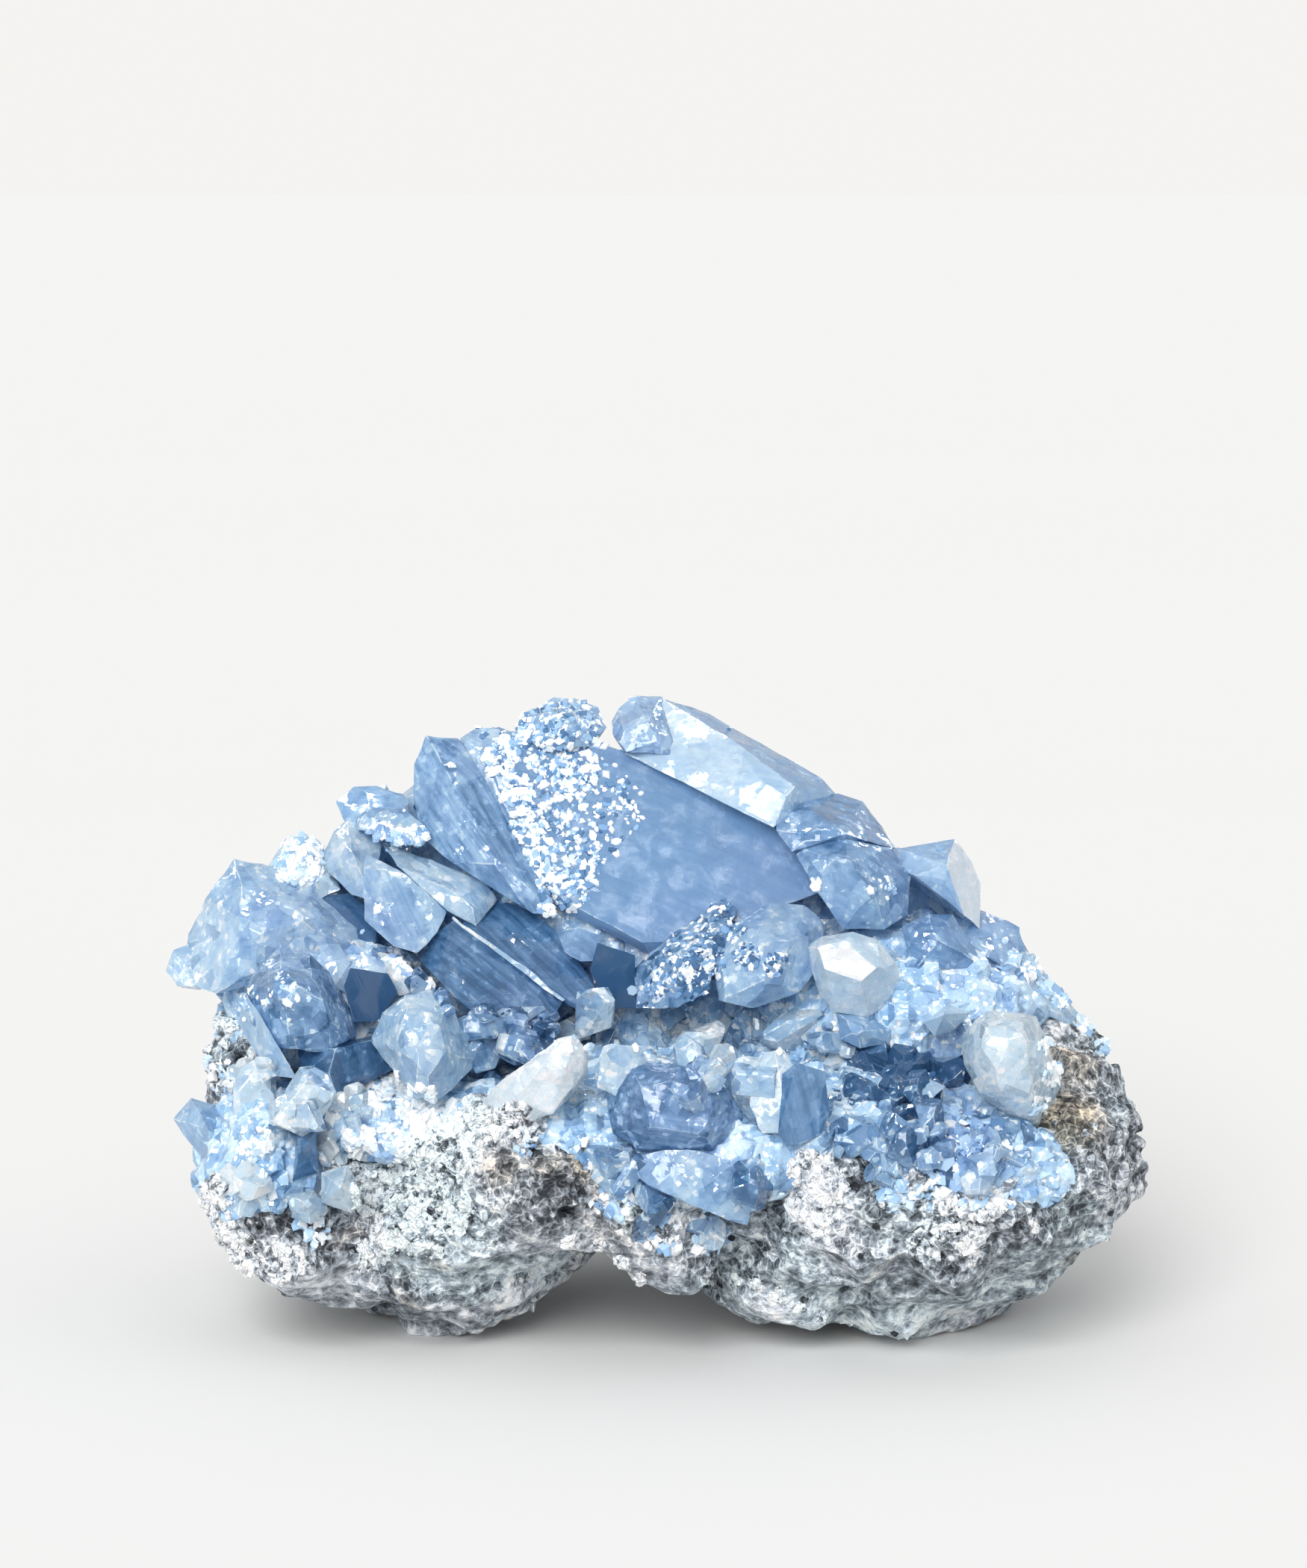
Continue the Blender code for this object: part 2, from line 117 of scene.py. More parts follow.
# The drawing's origin and the frame's, which is the middle of the solids' box, differ by this much.
DRAWING_SHIFT = Vector((0.41, -1.13, 0.0))


class Habit(Enum):
    """The forms that one crystal can take."""

    BLADE = "blade"
    BLOCK = "block"
    POINT = "point"
    DOME = "dome"


@dataclass(frozen=True)
class HabitShape:
    """How a habit's block is cut.

    Attributes:
        reach: how far the side faces are from the middle, as a share of the block's half width
        lift: how far the tip's faces meet above the block's top, as a share of its width
        shoulders: whether two more faces slope to the flat sides
        corners: whether four more faces cut the tip's corners
        chips: how many small faces are cut at odd angles near the tip
    """

    reach: float
    lift: float
    shoulders: bool = True
    corners: bool = False
    chips: int = 0


HABITS: dict[Habit, HabitShape] = {
    Habit.BLADE: HabitShape(reach=0.80, lift=0.10, chips=1),
    Habit.BLOCK: HabitShape(reach=0.84, lift=0.16, chips=2),
    Habit.POINT: HabitShape(reach=0.96, lift=0.06, shoulders=False),
    Habit.DOME: HabitShape(reach=0.76, lift=0.12, corners=True, chips=6),
}

# Face normals of celestite's own forms, for a crystal that is long along Z and flat across Y
SIDE_FACES: tuple[Triple, ...] = (
    (0.79, 0.61, 0.0),
    (-0.79, 0.61, 0.0),
    (0.79, -0.61, 0.0),
    (-0.79, -0.61, 0.0),
)
CHISEL_FACES: tuple[Triple, ...] = ((0.62, 0.0, 0.79), (-0.62, 0.0, 0.79))
SHOULDER_FACES: tuple[Triple, ...] = ((0.0, 0.77, 0.64), (0.0, -0.77, 0.64))
CORNER_FACES: tuple[Triple, ...] = (
    (0.55, 0.55, 0.63),
    (-0.55, 0.55, 0.63),
    (0.55, -0.55, 0.63),
    (-0.55, -0.55, 0.63),
)


@dataclass(frozen=True)
class Sight:
    """The camera's view of the stone, which turns a pixel of the photo and a depth into a place.

    Attributes:
        pitch: how far down the camera looks, in degrees
        distance: how far it is from what it looks at
        aim: the height that it looks at
        lens: its focal length
        sensor: the size of its sensor along the image's long side
        image: the image's width and height in pixels
    """

    pitch: float = 8.0
    distance: float = 622.0
    aim: float = 76.5
    lens: float = 100.0
    sensor: float = 36.0
    image: tuple[int, int] = (1750, 2100)

    def eye(self) -> Vector:
        """Returns where the camera stands."""
        pitch = math.radians(self.pitch)
        return Vector((0, -math.cos(pitch), math.sin(pitch))) * self.distance + Vector((0, 0, self.aim))

    def place(self, across: float, down: float, depth: float) -> Vector:
        """Finds the place that shows at a pixel and has a given depth.

        Args:
            across: the pixel, counted from the left
            down: the pixel, counted from the top
            depth: how far behind the frame's origin the place is, along Y

        Returns:
            The place, in millimetres.
        """
        eye = self.eye()
        ray = self.ray(across, down)
        return eye + ray * ((depth - eye.y) / ray.y)

    def ray(self, across: float, down: float) -> Vector:
        """Returns the way from the camera through a pixel."""
        pitch = math.radians(self.pitch)
        scale = self.sensor / self.lens / max(self.image)
        ahead = Vector((0, math.cos(pitch), -math.sin(pitch)))
        up = Vector((0, math.sin(pitch), math.cos(pitch)))
        side = Vector((1, 0, 0))
        return ahead + up * (self.image[1] / 2 - down) * scale + side * (across - self.image[0] / 2) * scale


SIGHT = Sight()


class MeshShop:
    """Small jobs on meshes that every piece needs."""

    @staticmethod
    def cut_flat(bm: bmesh.types.BMesh, point: Vector, normal: Vector) -> None:
        """Cuts off what lies beyond a plane, and closes the cut with a flat face.

        Args:
            bm: a closed mesh
            point: a point on the plane
            normal: the plane's normal, towards the side that is cut off
        """
        cut = bmesh.ops.bisect_plane(
            bm,
            geom=bm.verts[:] + bm.edges[:] + bm.faces[:],
            dist=1e-7,
            plane_co=point,
            plane_no=normal,
            clear_outer=True,
        )
        rim = [edge for edge in cut["geom_cut"] if isinstance(edge, bmesh.types.BMEdge)]
        if rim:
            bmesh.ops.holes_fill(bm, edges=rim, sides=0)

    @staticmethod
    def slice_up(bm: bmesh.types.BMesh, spacing: float) -> None:
        """Cuts the faces along three sets of parallel planes, so that they can be bent in small steps.

        Args:
            bm: the mesh
            spacing: how far it is from one cut to the next
        """
        for axis in range(3):
            reach = [vert.co[axis] for vert in bm.verts]
            low, high = min(reach), max(reach)
            steps = int((high - low) / spacing)
            normal = Vector((axis == 0, axis == 1, axis == 2))
            for step in range(1, steps + 1):
                bmesh.ops.bisect_plane(
                    bm,
                    geom=bm.verts[:] + bm.edges[:] + bm.faces[:],
                    dist=1e-5,
                    plane_co=normal * (low + (high - low) * step / (steps + 1)),
                    plane_no=normal,
                )

    @staticmethod
    def to_object(name: str, bm: bmesh.types.BMesh) -> bpy.types.Object:
        """Makes an object of a bmesh, links it to the scene and frees the bmesh.

        Args:
            name: the object's name
            bm: the mesh, in metres

        Returns:
            The new object.
        """
        mesh = bpy.data.meshes.new(name)
        bm.to_mesh(mesh)
        bm.free()
        obj = bpy.data.objects.new(name, mesh)
        bpy.context.scene.collection.objects.link(obj)
        return obj

    @staticmethod
    def bake(obj: bpy.types.Object) -> None:
        """Gives an object the mesh that its modifiers make, and clears them.

        Args:
            obj: the object
        """
        graph = bpy.context.evaluated_depsgraph_get()
        mesh = bpy.data.meshes.new_from_object(obj.evaluated_get(graph))
        obj.modifiers.clear()
        obj.data = mesh

    @staticmethod
    def triangles(obj: bpy.types.Object) -> int:
        """Returns how many triangles an object's mesh has."""
        obj.data.calc_loop_triangles()
        return len(obj.data.loop_triangles)


class Wire:
    """An output socket that holds a number which varies over a surface, for writing shader maths plainly."""

    def __init__(self, shop: "NodeShop", socket: bpy.types.NodeSocket) -> None:
        """Wraps a socket."""
        self.shop = shop
        self.socket = socket

    def _maths(self, operation: str, first: "Wire | float", second: "Wire | float") -> "Wire":
        """Adds a Math node.

        Args:
            operation: the Math node's operation
            first: its first value
            second: its second value

        Returns:
            The node's result.
        """
        node = self.shop.node("ShaderNodeMath", {"operation": operation}, {0: first, 1: second})
        return Wire(self.shop, node.outputs[0])

    def __add__(self, other: "Wire | float") -> "Wire":
        """Adds."""
        return self._maths("ADD", self, other)

    def __sub__(self, other: "Wire | float") -> "Wire":
        """Subtracts."""
        return self._maths("SUBTRACT", self, other)

    def __rsub__(self, other: float) -> "Wire":
        """Subtracts, from the right."""
        return self._maths("SUBTRACT", other, self)

    def __mul__(self, other: "Wire | float") -> "Wire":
        """Multiplies."""
        return self._maths("MULTIPLY", self, other)

    def clipped(self) -> "Wire":
        """Returns the value held between 0 and 1."""
        node = self.shop.node("ShaderNodeClamp", {}, {"Value": self})
        return Wire(self.shop, node.outputs[0])

    def between(self, low: float, high: float) -> "Wire":
        """Returns 0 where the value is at low or below, 1 at high or above, with a smooth rise between."""
        node = self.shop.node(
            "ShaderNodeMapRange",
            {"interpolation_type": "SMOOTHSTEP"},
            {"Value": self, "From Min": low, "From Max": high},
        )
        return Wire(self.shop, node.outputs[0])


class NodeShop:
    """Builds the nodes of one material or of the world."""

    def __init__(self, tree: bpy.types.NodeTree) -> None:
        """Takes a node tree and empties it."""
        self.tree = tree
        self.tree.nodes.clear()

    def node(self, kind: str, settings: dict, inputs: dict) -> bpy.types.Node:
        """Adds one node.

        Args:
            kind: the node's type name
            settings: its settings by name, set before its sockets
            inputs: a value, a Wire or an output socket for each of its input sockets

        Returns:
            The new node.
        """
        made = self.tree.nodes.new(kind)
        for name, value in settings.items():
            if name == "stops":
                self._set_stops(made.color_ramp, value)
            else:
                setattr(made, name, value)
        for name, value in inputs.items():
            socket = made.inputs[name]
            if isinstance(value, Wire):
                self.tree.links.new(value.socket, socket)
            elif isinstance(value, bpy.types.NodeSocket):
                self.tree.links.new(value, socket)
            else:
                socket.default_value = value
        return made

    @staticmethod
    def _set_stops(ramp: bpy.types.ColorRamp, stops: list) -> None:
        """Gives a colour ramp its stops, as pairs of position and colour."""
        while len(ramp.elements) < len(stops):
            ramp.elements.new(1.0)
        for element, (position, colour) in zip(ramp.elements, stops):
            element.position = position
            element.color = (*colour, 1.0)

    def place(self) -> bpy.types.NodeSocket:
        """Returns the socket of the piece's own coordinates, in metres."""
        return self.node("ShaderNodeTexCoord", {}, {}).outputs["Object"]

    def attribute(self, name: str) -> Wire:
        """Returns a number that is kept on the mesh under this name."""
        return Wire(self, self.node("ShaderNodeAttribute", {"attribute_name": name}, {}).outputs["Fac"])

    def grain(self, squeeze: float) -> bpy.types.NodeSocket:
        """Returns the crystals' own coordinates, squeezed along their length so that patterns run long."""
        own = self.node("ShaderNodeAttribute", {"attribute_name": "grain"}, {}).outputs["Vector"]
        return self.vector("MULTIPLY", own, (1.0, 1.0, squeeze))

    def vector(self, operation: str, first: object, second: object) -> bpy.types.NodeSocket:
        """Returns the result of a Vector Math node."""
        return self.node("ShaderNodeVectorMath", {"operation": operation}, {0: first, 1: second}).outputs[0]

    def ramp(self, value: Wire, stops: list[tuple[float, Triple]]) -> bpy.types.NodeSocket:
        """Returns the colour that a ramp with these stops gives a number."""
        return self.node("ShaderNodeValToRGB", {"stops": stops}, {"Fac": value}).outputs["Color"]

    def warped(self, place: bpy.types.NodeSocket, size: float, reach: float) -> bpy.types.NodeSocket:
        """Returns coordinates that wander, so that patterns there bend.

        Args:
            place: the coordinates
            size: how far it is from one bend to the next, in millimetres
            reach: how far they wander, in millimetres
        """
        inputs = {"Vector": place, "Scale": 1.0 / (size * MM), "Detail": 1.0}
        wander = self.node("ShaderNodeTexNoise", {"noise_dimensions": "3D"}, inputs).outputs["Color"]
        aside = self.vector("SUBTRACT", wander, (0.5, 0.5, 0.5))
        return self.vector("ADD", place, self.vector("MULTIPLY", aside, (reach * MM, reach * MM, reach * MM)))

    def clouds(
        self,
        place: bpy.types.NodeSocket,
        size: float,
        detail: float = 3.0,
        rough: float = 0.5,
        curl: float = 0.0,
    ) -> Wire:
        """Adds cloudy noise.

        Args:
            place: the coordinates
            size: the size of one cloud in millimetres
            detail: how many finer layers it has
            rough: how strong the finer layers are
            curl: how much the clouds are twisted into wisps

        Returns:
            The noise, about 0.3 to 0.7.
        """
        node = self.node(
            "ShaderNodeTexNoise",
            {"noise_dimensions": "3D"},
            {
                "Vector": place,
                "Scale": 1.0 / (size * MM),
                "Detail": detail,
                "Roughness": rough,
                "Distortion": curl,
            },
        )
        return Wire(self, node.outputs[0])

    def cells(self, place: bpy.types.NodeSocket, size: float, feature: str = "F1") -> bpy.types.Node:
        """Adds a cell pattern.

        Args:
            place: the coordinates
            size: the size of one cell in millimetres
            feature: which distance the node gives

        Returns:
            The node, with the outputs Distance and Color.
        """
        inputs = {"Vector": place, "Scale": 1.0 / (size * MM)}
        return self.node("ShaderNodeTexVoronoi", {"feature": feature}, inputs)

    def chips(self, place: bpy.types.NodeSocket, size: float) -> "Chips":
        """Breaks a surface into small flat chips, each tilted its own way.

        Args:
            place: the coordinates
            size: how wide a chip is, in millimetres

        Returns:
            The chips' height and shade.
        """
        cell = self.cells(place, size)
        slope = self.vector("SUBTRACT", cell.outputs["Color"], (0.5, 0.5, 0.5))
        aside = self.vector("SUBTRACT", place, cell.outputs["Position"])
        height = self.node("ShaderNodeVectorMath", {"operation": "DOT_PRODUCT"}, {0: slope, 1: aside})
        shade = self.node("ShaderNodeSeparateColor", {}, {"Color": cell.outputs["Color"]})
        return Chips(
            Wire(self, height.outputs["Value"]) * (1.0 / MM),
            Wire(self, shade.outputs[1]),
            Wire(self, cell.outputs["Distance"]),
        )

    def mix(self, share: Wire | float, first: object, second: object) -> bpy.types.NodeSocket:
        """Mixes two colours.

        Args:
            share: how much of the second colour shows
            first: a colour as three numbers, or a socket
            second: the same

        Returns:
            The mixed colour.
        """
        node = self.node("ShaderNodeMix", {"data_type": "RGBA"}, {0: share})
        for slot, value in ((6, first), (7, second)):
            if isinstance(value, bpy.types.NodeSocket):
                self.tree.links.new(value, node.inputs[slot])
            else:
                node.inputs[slot].default_value = (*value, 1.0)
        return node.outputs[2]

    def bump(self, height: Wire) -> bpy.types.NodeSocket:
        """Returns the normal of a surface with bumps of this height, in millimetres."""
        inputs = {"Height": height, "Distance": MM, "Strength": 1.0}
        return self.node("ShaderNodeBump", {}, inputs).outputs[0]


class ShaderShop(NodeShop):
    """Builds the nodes of one material."""

    def __init__(self, name: str) -> None:
        """Makes an empty material with this name."""
        self.material = bpy.data.materials.new(name)
        self.material.use_nodes = True
        super().__init__(self.material.node_tree)

    def finish(self, surface: bpy.types.Node, volume: bpy.types.Node | None = None) -> bpy.types.Material:
        """Joins the shaders to the output and returns the material."""
        output = self.node("ShaderNodeOutputMaterial", {}, {"Surface": surface.outputs[0]})
        if volume is not None:
            self.tree.links.new(volume.outputs[0], output.inputs["Volume"])
        return self.material


@dataclass(frozen=True)
class Chips:
    """Small flat chips of a surface.

    Attributes:
        height: how high the surface stands, in millimetres
        shade: a number from 0 to 1 for each chip
        distance: how far the chip's middle is, in chips
    """

    height: Wire
    shade: Wire
    distance: Wire


# The colours' last stop is a tone of 1.25, because tones are read at this share of their value
TONE_SHARE = 0.8
CELESTITE_IOR = 1.62
CRYSTAL_STOPS: list[tuple[float, Triple]] = [
    (0.00, (0.045, 0.135, 0.290)),
    (0.144, (0.116, 0.262, 0.485)),
    (0.288, (0.256, 0.455, 0.735)),
    (0.464, (0.450, 0.675, 0.900)),
    (0.640, (0.680, 0.850, 0.970)),
    (0.800, (0.830, 0.935, 1.000)),
    (1.000, (1.000, 1.000, 1.000)),
]


@dataclass(frozen=True)
class CrystalFinish:
    """Clear blue crystal with milky veils, whose tone runs from deep blue to white.

    Attributes:
        name: the material's name
        stops: the colours from the deepest tone to the palest
        lilac: what the colours are multiplied by where they lean to lilac
        clearness: the share of light that passes through
        gloss: the roughness of the smoothest faces
        haze: the roughness that veils add
        depth_colour: what is left of white light deep inside
        depth_density: how quickly light is lost inside, for each metre
        mottling: how strong the clouds inside are
        glitter: how strong the white flecks of broken faces are, which are painted glints
    """

    name: str
    stops: tuple[tuple[float, Triple], ...] = tuple(CRYSTAL_STOPS)
    lilac: Triple = (1.07, 0.98, 1.0)
    clearness: float = 0.38
    gloss: float = 0.08
    haze: float = 0.25
    depth_colour: Triple = (0.35, 0.65, 0.93)
    depth_density: float = 8.0
    mottling: float = 0.9
    glitter: float = 0.7

    def make(self) -> bpy.types.Material:
        """Builds the material.

        Returns:
            The new material.
        """
        shop = ShaderShop(self.name)
        place = shop.place()
        tone = shop.attribute("tone")
        faceting = shop.attribute("faceting")
        streaking = shop.attribute("streaking")
        wide = shop.clouds(place, 24.0, detail=1.0)
        clouds = shop.clouds(place, 3.4, detail=4.0, rough=0.62, curl=0.6)
        streaks = shop.clouds(shop.grain(0.06), 0.9, detail=2.0)
        chips = shop.chips(place, 2.1)
        flecks = shop.chips(place, 0.7)
        # White flecks where broken faces would catch a lamp: painted glints
        glints = flecks.shade.between(0.84, 0.90) * (clouds + chips.shade * 0.25).between(0.58, 0.66)
        cloudy = faceting.between(0.0, 0.2) * 0.22 + faceting * 0.66 + 0.12
        shade = tone + (clouds - 0.5) * self.mottling * cloudy
        shade = shade + (chips.shade - 0.5) * faceting * 0.36 + (streaks - 0.5) * streaking * 1.1
        # Rims are painted lighter: partly the white of chipped edges, partly a painted highlight
        shade = shade + shop.attribute("rim") * clouds.between(0.42, 0.58) * 0.45
        shade = shade + glints * faceting * self.glitter
        colour = shop.ramp(shade * TONE_SHARE, list(self.stops))
        leaning = wide.between(0.50, 0.64) * (1.0 - shade.between(0.45, 0.80)) * 0.8
        colour = shop.mix(leaning, colour, shop.vector("MULTIPLY", colour, self.lilac))
        height = chips.height * faceting * 0.7 + flecks.height * faceting * 0.35 + streaks * streaking * 0.12
        rough = clouds.between(0.44, 0.70) * self.haze + shade.between(0.6, 1.2) * 0.15 + self.gloss
        surface = shop.node(
            "ShaderNodeBsdfPrincipled",
            {},
            {
                "Base Color": colour,
                "Roughness": rough,
                "IOR": CELESTITE_IOR,
                "Transmission Weight": self.clearness,
                "Normal": shop.bump(height),
            },
        )
        volume = shop.node(
            "ShaderNodeVolumeAbsorption",
            {},
            {"Color": (*self.depth_colour, 1.0), "Density": self.depth_density},
        )
        return shop.finish(surface, volume)


@dataclass(frozen=True)
class RockFinish:
    """Crumbly rock, from dark gaps through cool grey to white crumbs, with brown stains and partly painted
    light and shade.

    Attributes:
        name: the material's name
        stops: the colours from the darkest gap to the whitest crumb
        stain_colour: what the colours are multiplied by in a brown stain
        cool_colour: what they are multiplied by where the rock leans to green
    """

    name: str = "crumbly_rock"
    stops: tuple[tuple[float, Triple], ...] = (
        (0.00, (0.026, 0.030, 0.037)),
        (0.22, (0.095, 0.107, 0.123)),
        (0.42, (0.250, 0.280, 0.318)),
        (0.60, (0.450, 0.490, 0.545)),
        (0.78, (0.780, 0.825, 0.880)),
        (1.00, (0.950, 0.965, 0.985)),
    )
    stain_colour: Triple = (1.02, 0.80, 0.58)
    cool_colour: Triple = (0.93, 1.0, 1.0)

    def make(self) -> bpy.types.Material:
        """Builds the material.

        Returns:
            The new material.
        """
        shop = ShaderShop(self.name)
        place = shop.place()
        crumbly = 1.0 - shop.attribute("worn") * 0.6
        bent = shop.warped(place, 1.6, 1.1)
        wide = shop.clouds(place, 20.0, detail=1.0)
        middle = shop.clouds(place, 2.4, detail=4.0, rough=0.70)
        grains = shop.chips(bent, 1.0)
        web = shop.cells(bent, 1.35, "DISTANCE_TO_EDGE").outputs["Distance"]
        ridges = 1.0 - Wire(shop, web).between(0.02, 0.20)
        # The light attribute holds partly painted light and shade: the zones' and the darkened pits'
        shade = shop.attribute("light") + (middle - 0.5) * 1.9 + (grains.shade - 0.5) * crumbly * 0.40
        shade = shade + (0.45 - grains.distance) * crumbly * 0.24 + (ridges - 0.35) * crumbly * 0.24
        colour = shop.ramp(shade, list(self.stops))
        colour = shop.mix(wide.between(0.44, 0.60), colour, shop.vector("MULTIPLY", colour, self.cool_colour))
        stained = (shop.attribute("stain") + (middle - 0.5) * 1.2).clipped()
        colour = shop.mix(stained, colour, shop.vector("MULTIPLY", colour, self.stain_colour))
        height = (grains.height * 0.8 + ridges * 0.22) * crumbly + middle * 1.3
        surface = shop.node(
            "ShaderNodeBsdfPrincipled",
            {},
            {
                "Base Color": colour,
                "Roughness": 0.85,
                "Specular IOR Level": 0.35,
                "Normal": shop.bump(height),
            },
        )
        return shop.finish(surface)


@dataclass(frozen=True)
class PaleFloorFinish:
    """The plain pale floor."""

    name: str = "pale_floor"
    colour: Triple = (0.840, 0.832, 0.817)

    def make(self) -> bpy.types.Material:
        """Builds the material.

        Returns:
            The new material.
        """
        shop = ShaderShop(self.name)
        surface = shop.node("ShaderNodeBsdfDiffuse", {}, {"Color": (*self.colour, 1.0)})
        return shop.finish(surface)


@dataclass
class Softbox:
    """One studio lamp, aimed at the stone, that only shows as a glint on glossy faces.

    Attributes:
        name: the lamp's name
        place: where it stands, in metres
        width: how wide it is, in metres
        watts: how bright it is
        aim: the height that it is aimed at, in metres
    """

    name: str
    place: Triple
    width: float
    watts: float
    aim: float = 0.045

    def build(self) -> bpy.types.Object:
        """Makes the lamp.

        Returns:
            The lamp's object.
        """
        lamp = bpy.data.lights.new(self.name, "AREA")
        lamp.shape = "SQUARE"
        lamp.size = self.width
        lamp.energy = self.watts
        obj = bpy.data.objects.new(self.name, lamp)
        bpy.context.scene.collection.objects.link(obj)
        place = Vector(self.place)
        obj.location = place
        obj.rotation_euler = (Vector((0, 0, self.aim)) - place).to_track_quat("-Z", "Y").to_euler()
        obj.visible_diffuse = False
        return obj


@dataclass
class Studio:
    """The camera, the floor and the light.

    Attributes:
        sight: where the camera stands and how it looks
        backdrop: the colour of the room behind the stone, near the floor's edge
        room: the colour of the room higher up
        sun_strength: how bright the broad light from the front and the upper left is
        sun_width: how wide it looks, in degrees
        sun_way: the way that its light goes
        lamps: the softboxes
    """

    sight: Sight = SIGHT
    backdrop: Triple = (0.905, 0.896, 0.880)
    room: Triple = (0.68, 0.69, 0.70)
    sun_strength: float = 2.4
    sun_width: float = 34.0
    sun_way: Triple = (0.24, 0.85, -0.54)
    lamps: list[Softbox] = field(
        default_factory=lambda: [
            Softbox("left_glint", (-0.95, -0.45, 0.55), 0.18, 4.0),
            Softbox("front_glint", (0.30, -1.05, 0.60), 0.14, 2.6),
            Softbox("right_glint", (0.95, -0.30, 0.70), 0.18, 4.0),
            Softbox("top_glint", (-0.10, 0.05, 1.20), 0.22, 5.0),
            Softbox("back_glint", (0.75, 0.85, 0.80), 0.16, 3.5),
            Softbox("far_left_glint", (-0.70, 0.65, 0.75), 0.18, 3.5),
        ]
    )

    def build(self) -> None:
        """Makes the whole studio."""
        bpy.context.scene.view_settings.view_transform = "Standard"
        self._camera()
        self._floor()
        self._world()
        self._sun()
        for lamp in self.lamps:
            lamp.build()
        LOG.info("studio: camera, floor, world, sun and %d lamps", len(self.lamps))

    def _camera(self) -> None:
        """Places the camera at the photo's viewing angle."""
        camera = bpy.data.cameras.new("camera")
        camera.lens = self.sight.lens
        obj = bpy.data.objects.new("camera", camera)
        bpy.context.scene.collection.objects.link(obj)
        eye = self.sight.eye() * MM
        obj.location = eye
        obj.rotation_euler = (Vector((0, 0, self.sight.aim * MM)) - eye).to_track_quat("-Z", "Y").to_euler()
        bpy.context.scene.camera = obj

    def _floor(self) -> None:
        """Lays the floor."""
        bm = bmesh.new()
        bmesh.ops.create_grid(bm, x_segments=1, y_segments=1, size=30.0)
        floor = MeshShop.to_object("floor", bm)
        floor.data.materials.append(PaleFloorFinish().make())
        floor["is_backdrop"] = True

    def _world(self) -> None:
        """Lights the room from all sides, palest behind the floor's edge."""
        world = bpy.data.worlds.new("studio")
        world.use_nodes = True
        shop = NodeShop(world.node_tree)
        way = shop.node("ShaderNodeTexCoord", {}, {}).outputs["Generated"]
        height = Wire(shop, shop.node("ShaderNodeSeparateXYZ", {}, {0: way}).outputs["Z"])
        colour = shop.mix(height.between(0.08, 0.32), self.backdrop, self.room)
        background = shop.node("ShaderNodeBackground", {}, {"Color": colour, "Strength": 1.0})
        shop.node("ShaderNodeOutputWorld", {}, {"Surface": background.outputs[0]})
        bpy.context.scene.world = world

    def _sun(self) -> None:
        """Adds the broad light from the front and the upper left, which is the same all over the floor."""
        sun = bpy.data.lights.new("sun", "SUN")
        sun.energy = self.sun_strength
        sun.angle = math.radians(self.sun_width)
        obj = bpy.data.objects.new("sun", sun)
        bpy.context.scene.collection.objects.link(obj)
        obj.rotation_euler = Vector(self.sun_way).to_track_quat("-Z", "Y").to_euler()


class CrystalTrim:
    """What every large crystal gets after its form is cut: chipped corners, fine rims painted bright, partly
    as a painted highlight, its own tone.
    """

    @staticmethod
    def chip(bm: bmesh.types.BMesh, count: int, most: float, rng: Random) -> None:
        """Breaks small flat chips off the parts that stand out most.

        Args:
            bm: the crystal, in millimetres
            count: how many chips
            most: how deep a chip may be
            rng: the source of places and depths
        """
        for _ in range(count):
            normal = Vector((rng.gauss(0, 1), rng.gauss(-0.8, 0.8), rng.gauss(0.4, 0.8))).normalized()
            far = max((vert.co for vert in bm.verts), key=normal.dot)
            MeshShop.cut_flat(bm, far - normal * rng.uniform(0.2, 1.0) * most, normal)

    @staticmethod
    def finish(
        bm: bmesh.types.BMesh, rim_width: float, look: "CrystalLook", own: Matrix, rng: Random
    ) -> None:
        """Gives a crystal its fine bright rims, partly painted highlights, and notes its look on its faces
        and points.

        Args:
            bm: the crystal, in millimetres
            rim_width: how wide the rims are
            look: its tone, faceting and streaks
            own: turns a place into the crystal's own coordinates, with its length along Z
            rng: the source of each face's own shade
        """
        bmesh.ops.dissolve_degenerate(bm, dist=0.05, edges=bm.edges)
        bmesh.ops.recalc_face_normals(bm, faces=bm.faces)
        layers = {name: bm.faces.layers.float.new(name) for name in ("tone", "rim", "faceting", "streaking")}
        grain = bm.verts.layers.float_vector.new("grain")
        painted_reflection_way = Vector(look.painted_reflection_way)
        for face in bm.faces:
            face[layers["tone"]] = look.tone + rng.uniform(-1, 1) * look.shades
            # Faces that look the given way are painted lighter: a painted reflection of a lamp
            if face.normal.dot(painted_reflection_way) > 0.80:
                face[layers["tone"]] += look.painted_reflection
        sharp = [edge for edge in bm.edges if edge.calc_face_angle(math.pi) > RIM_ANGLE]
        rounded = bmesh.ops.bevel(
            bm,
            geom=[edge for edge in sharp if rng.random() < 0.6],
            offset=rim_width,
            offset_type="OFFSET",
            segments=1,
            profile=0.5,
            affect="EDGES",
            clamp_overlap=True,
            material=-1,
        )
        for face in bm.faces:
            face[layers["faceting"]] = look.faceting
            face[layers["streaking"]] = look.streaking
        for face in rounded["faces"]:
            face[layers["rim"]] = 1.0
        if look.wobble > 0:
            MeshShop.slice_up(bm, SLICE)
        for vert in bm.verts:
            vert[grain] = own @ vert.co * MM
            bent = noise.noise_vector(vert.co * 0.33) + noise.noise_vector(vert.co * 0.9) * 0.4
            vert.co += bent * look.wobble


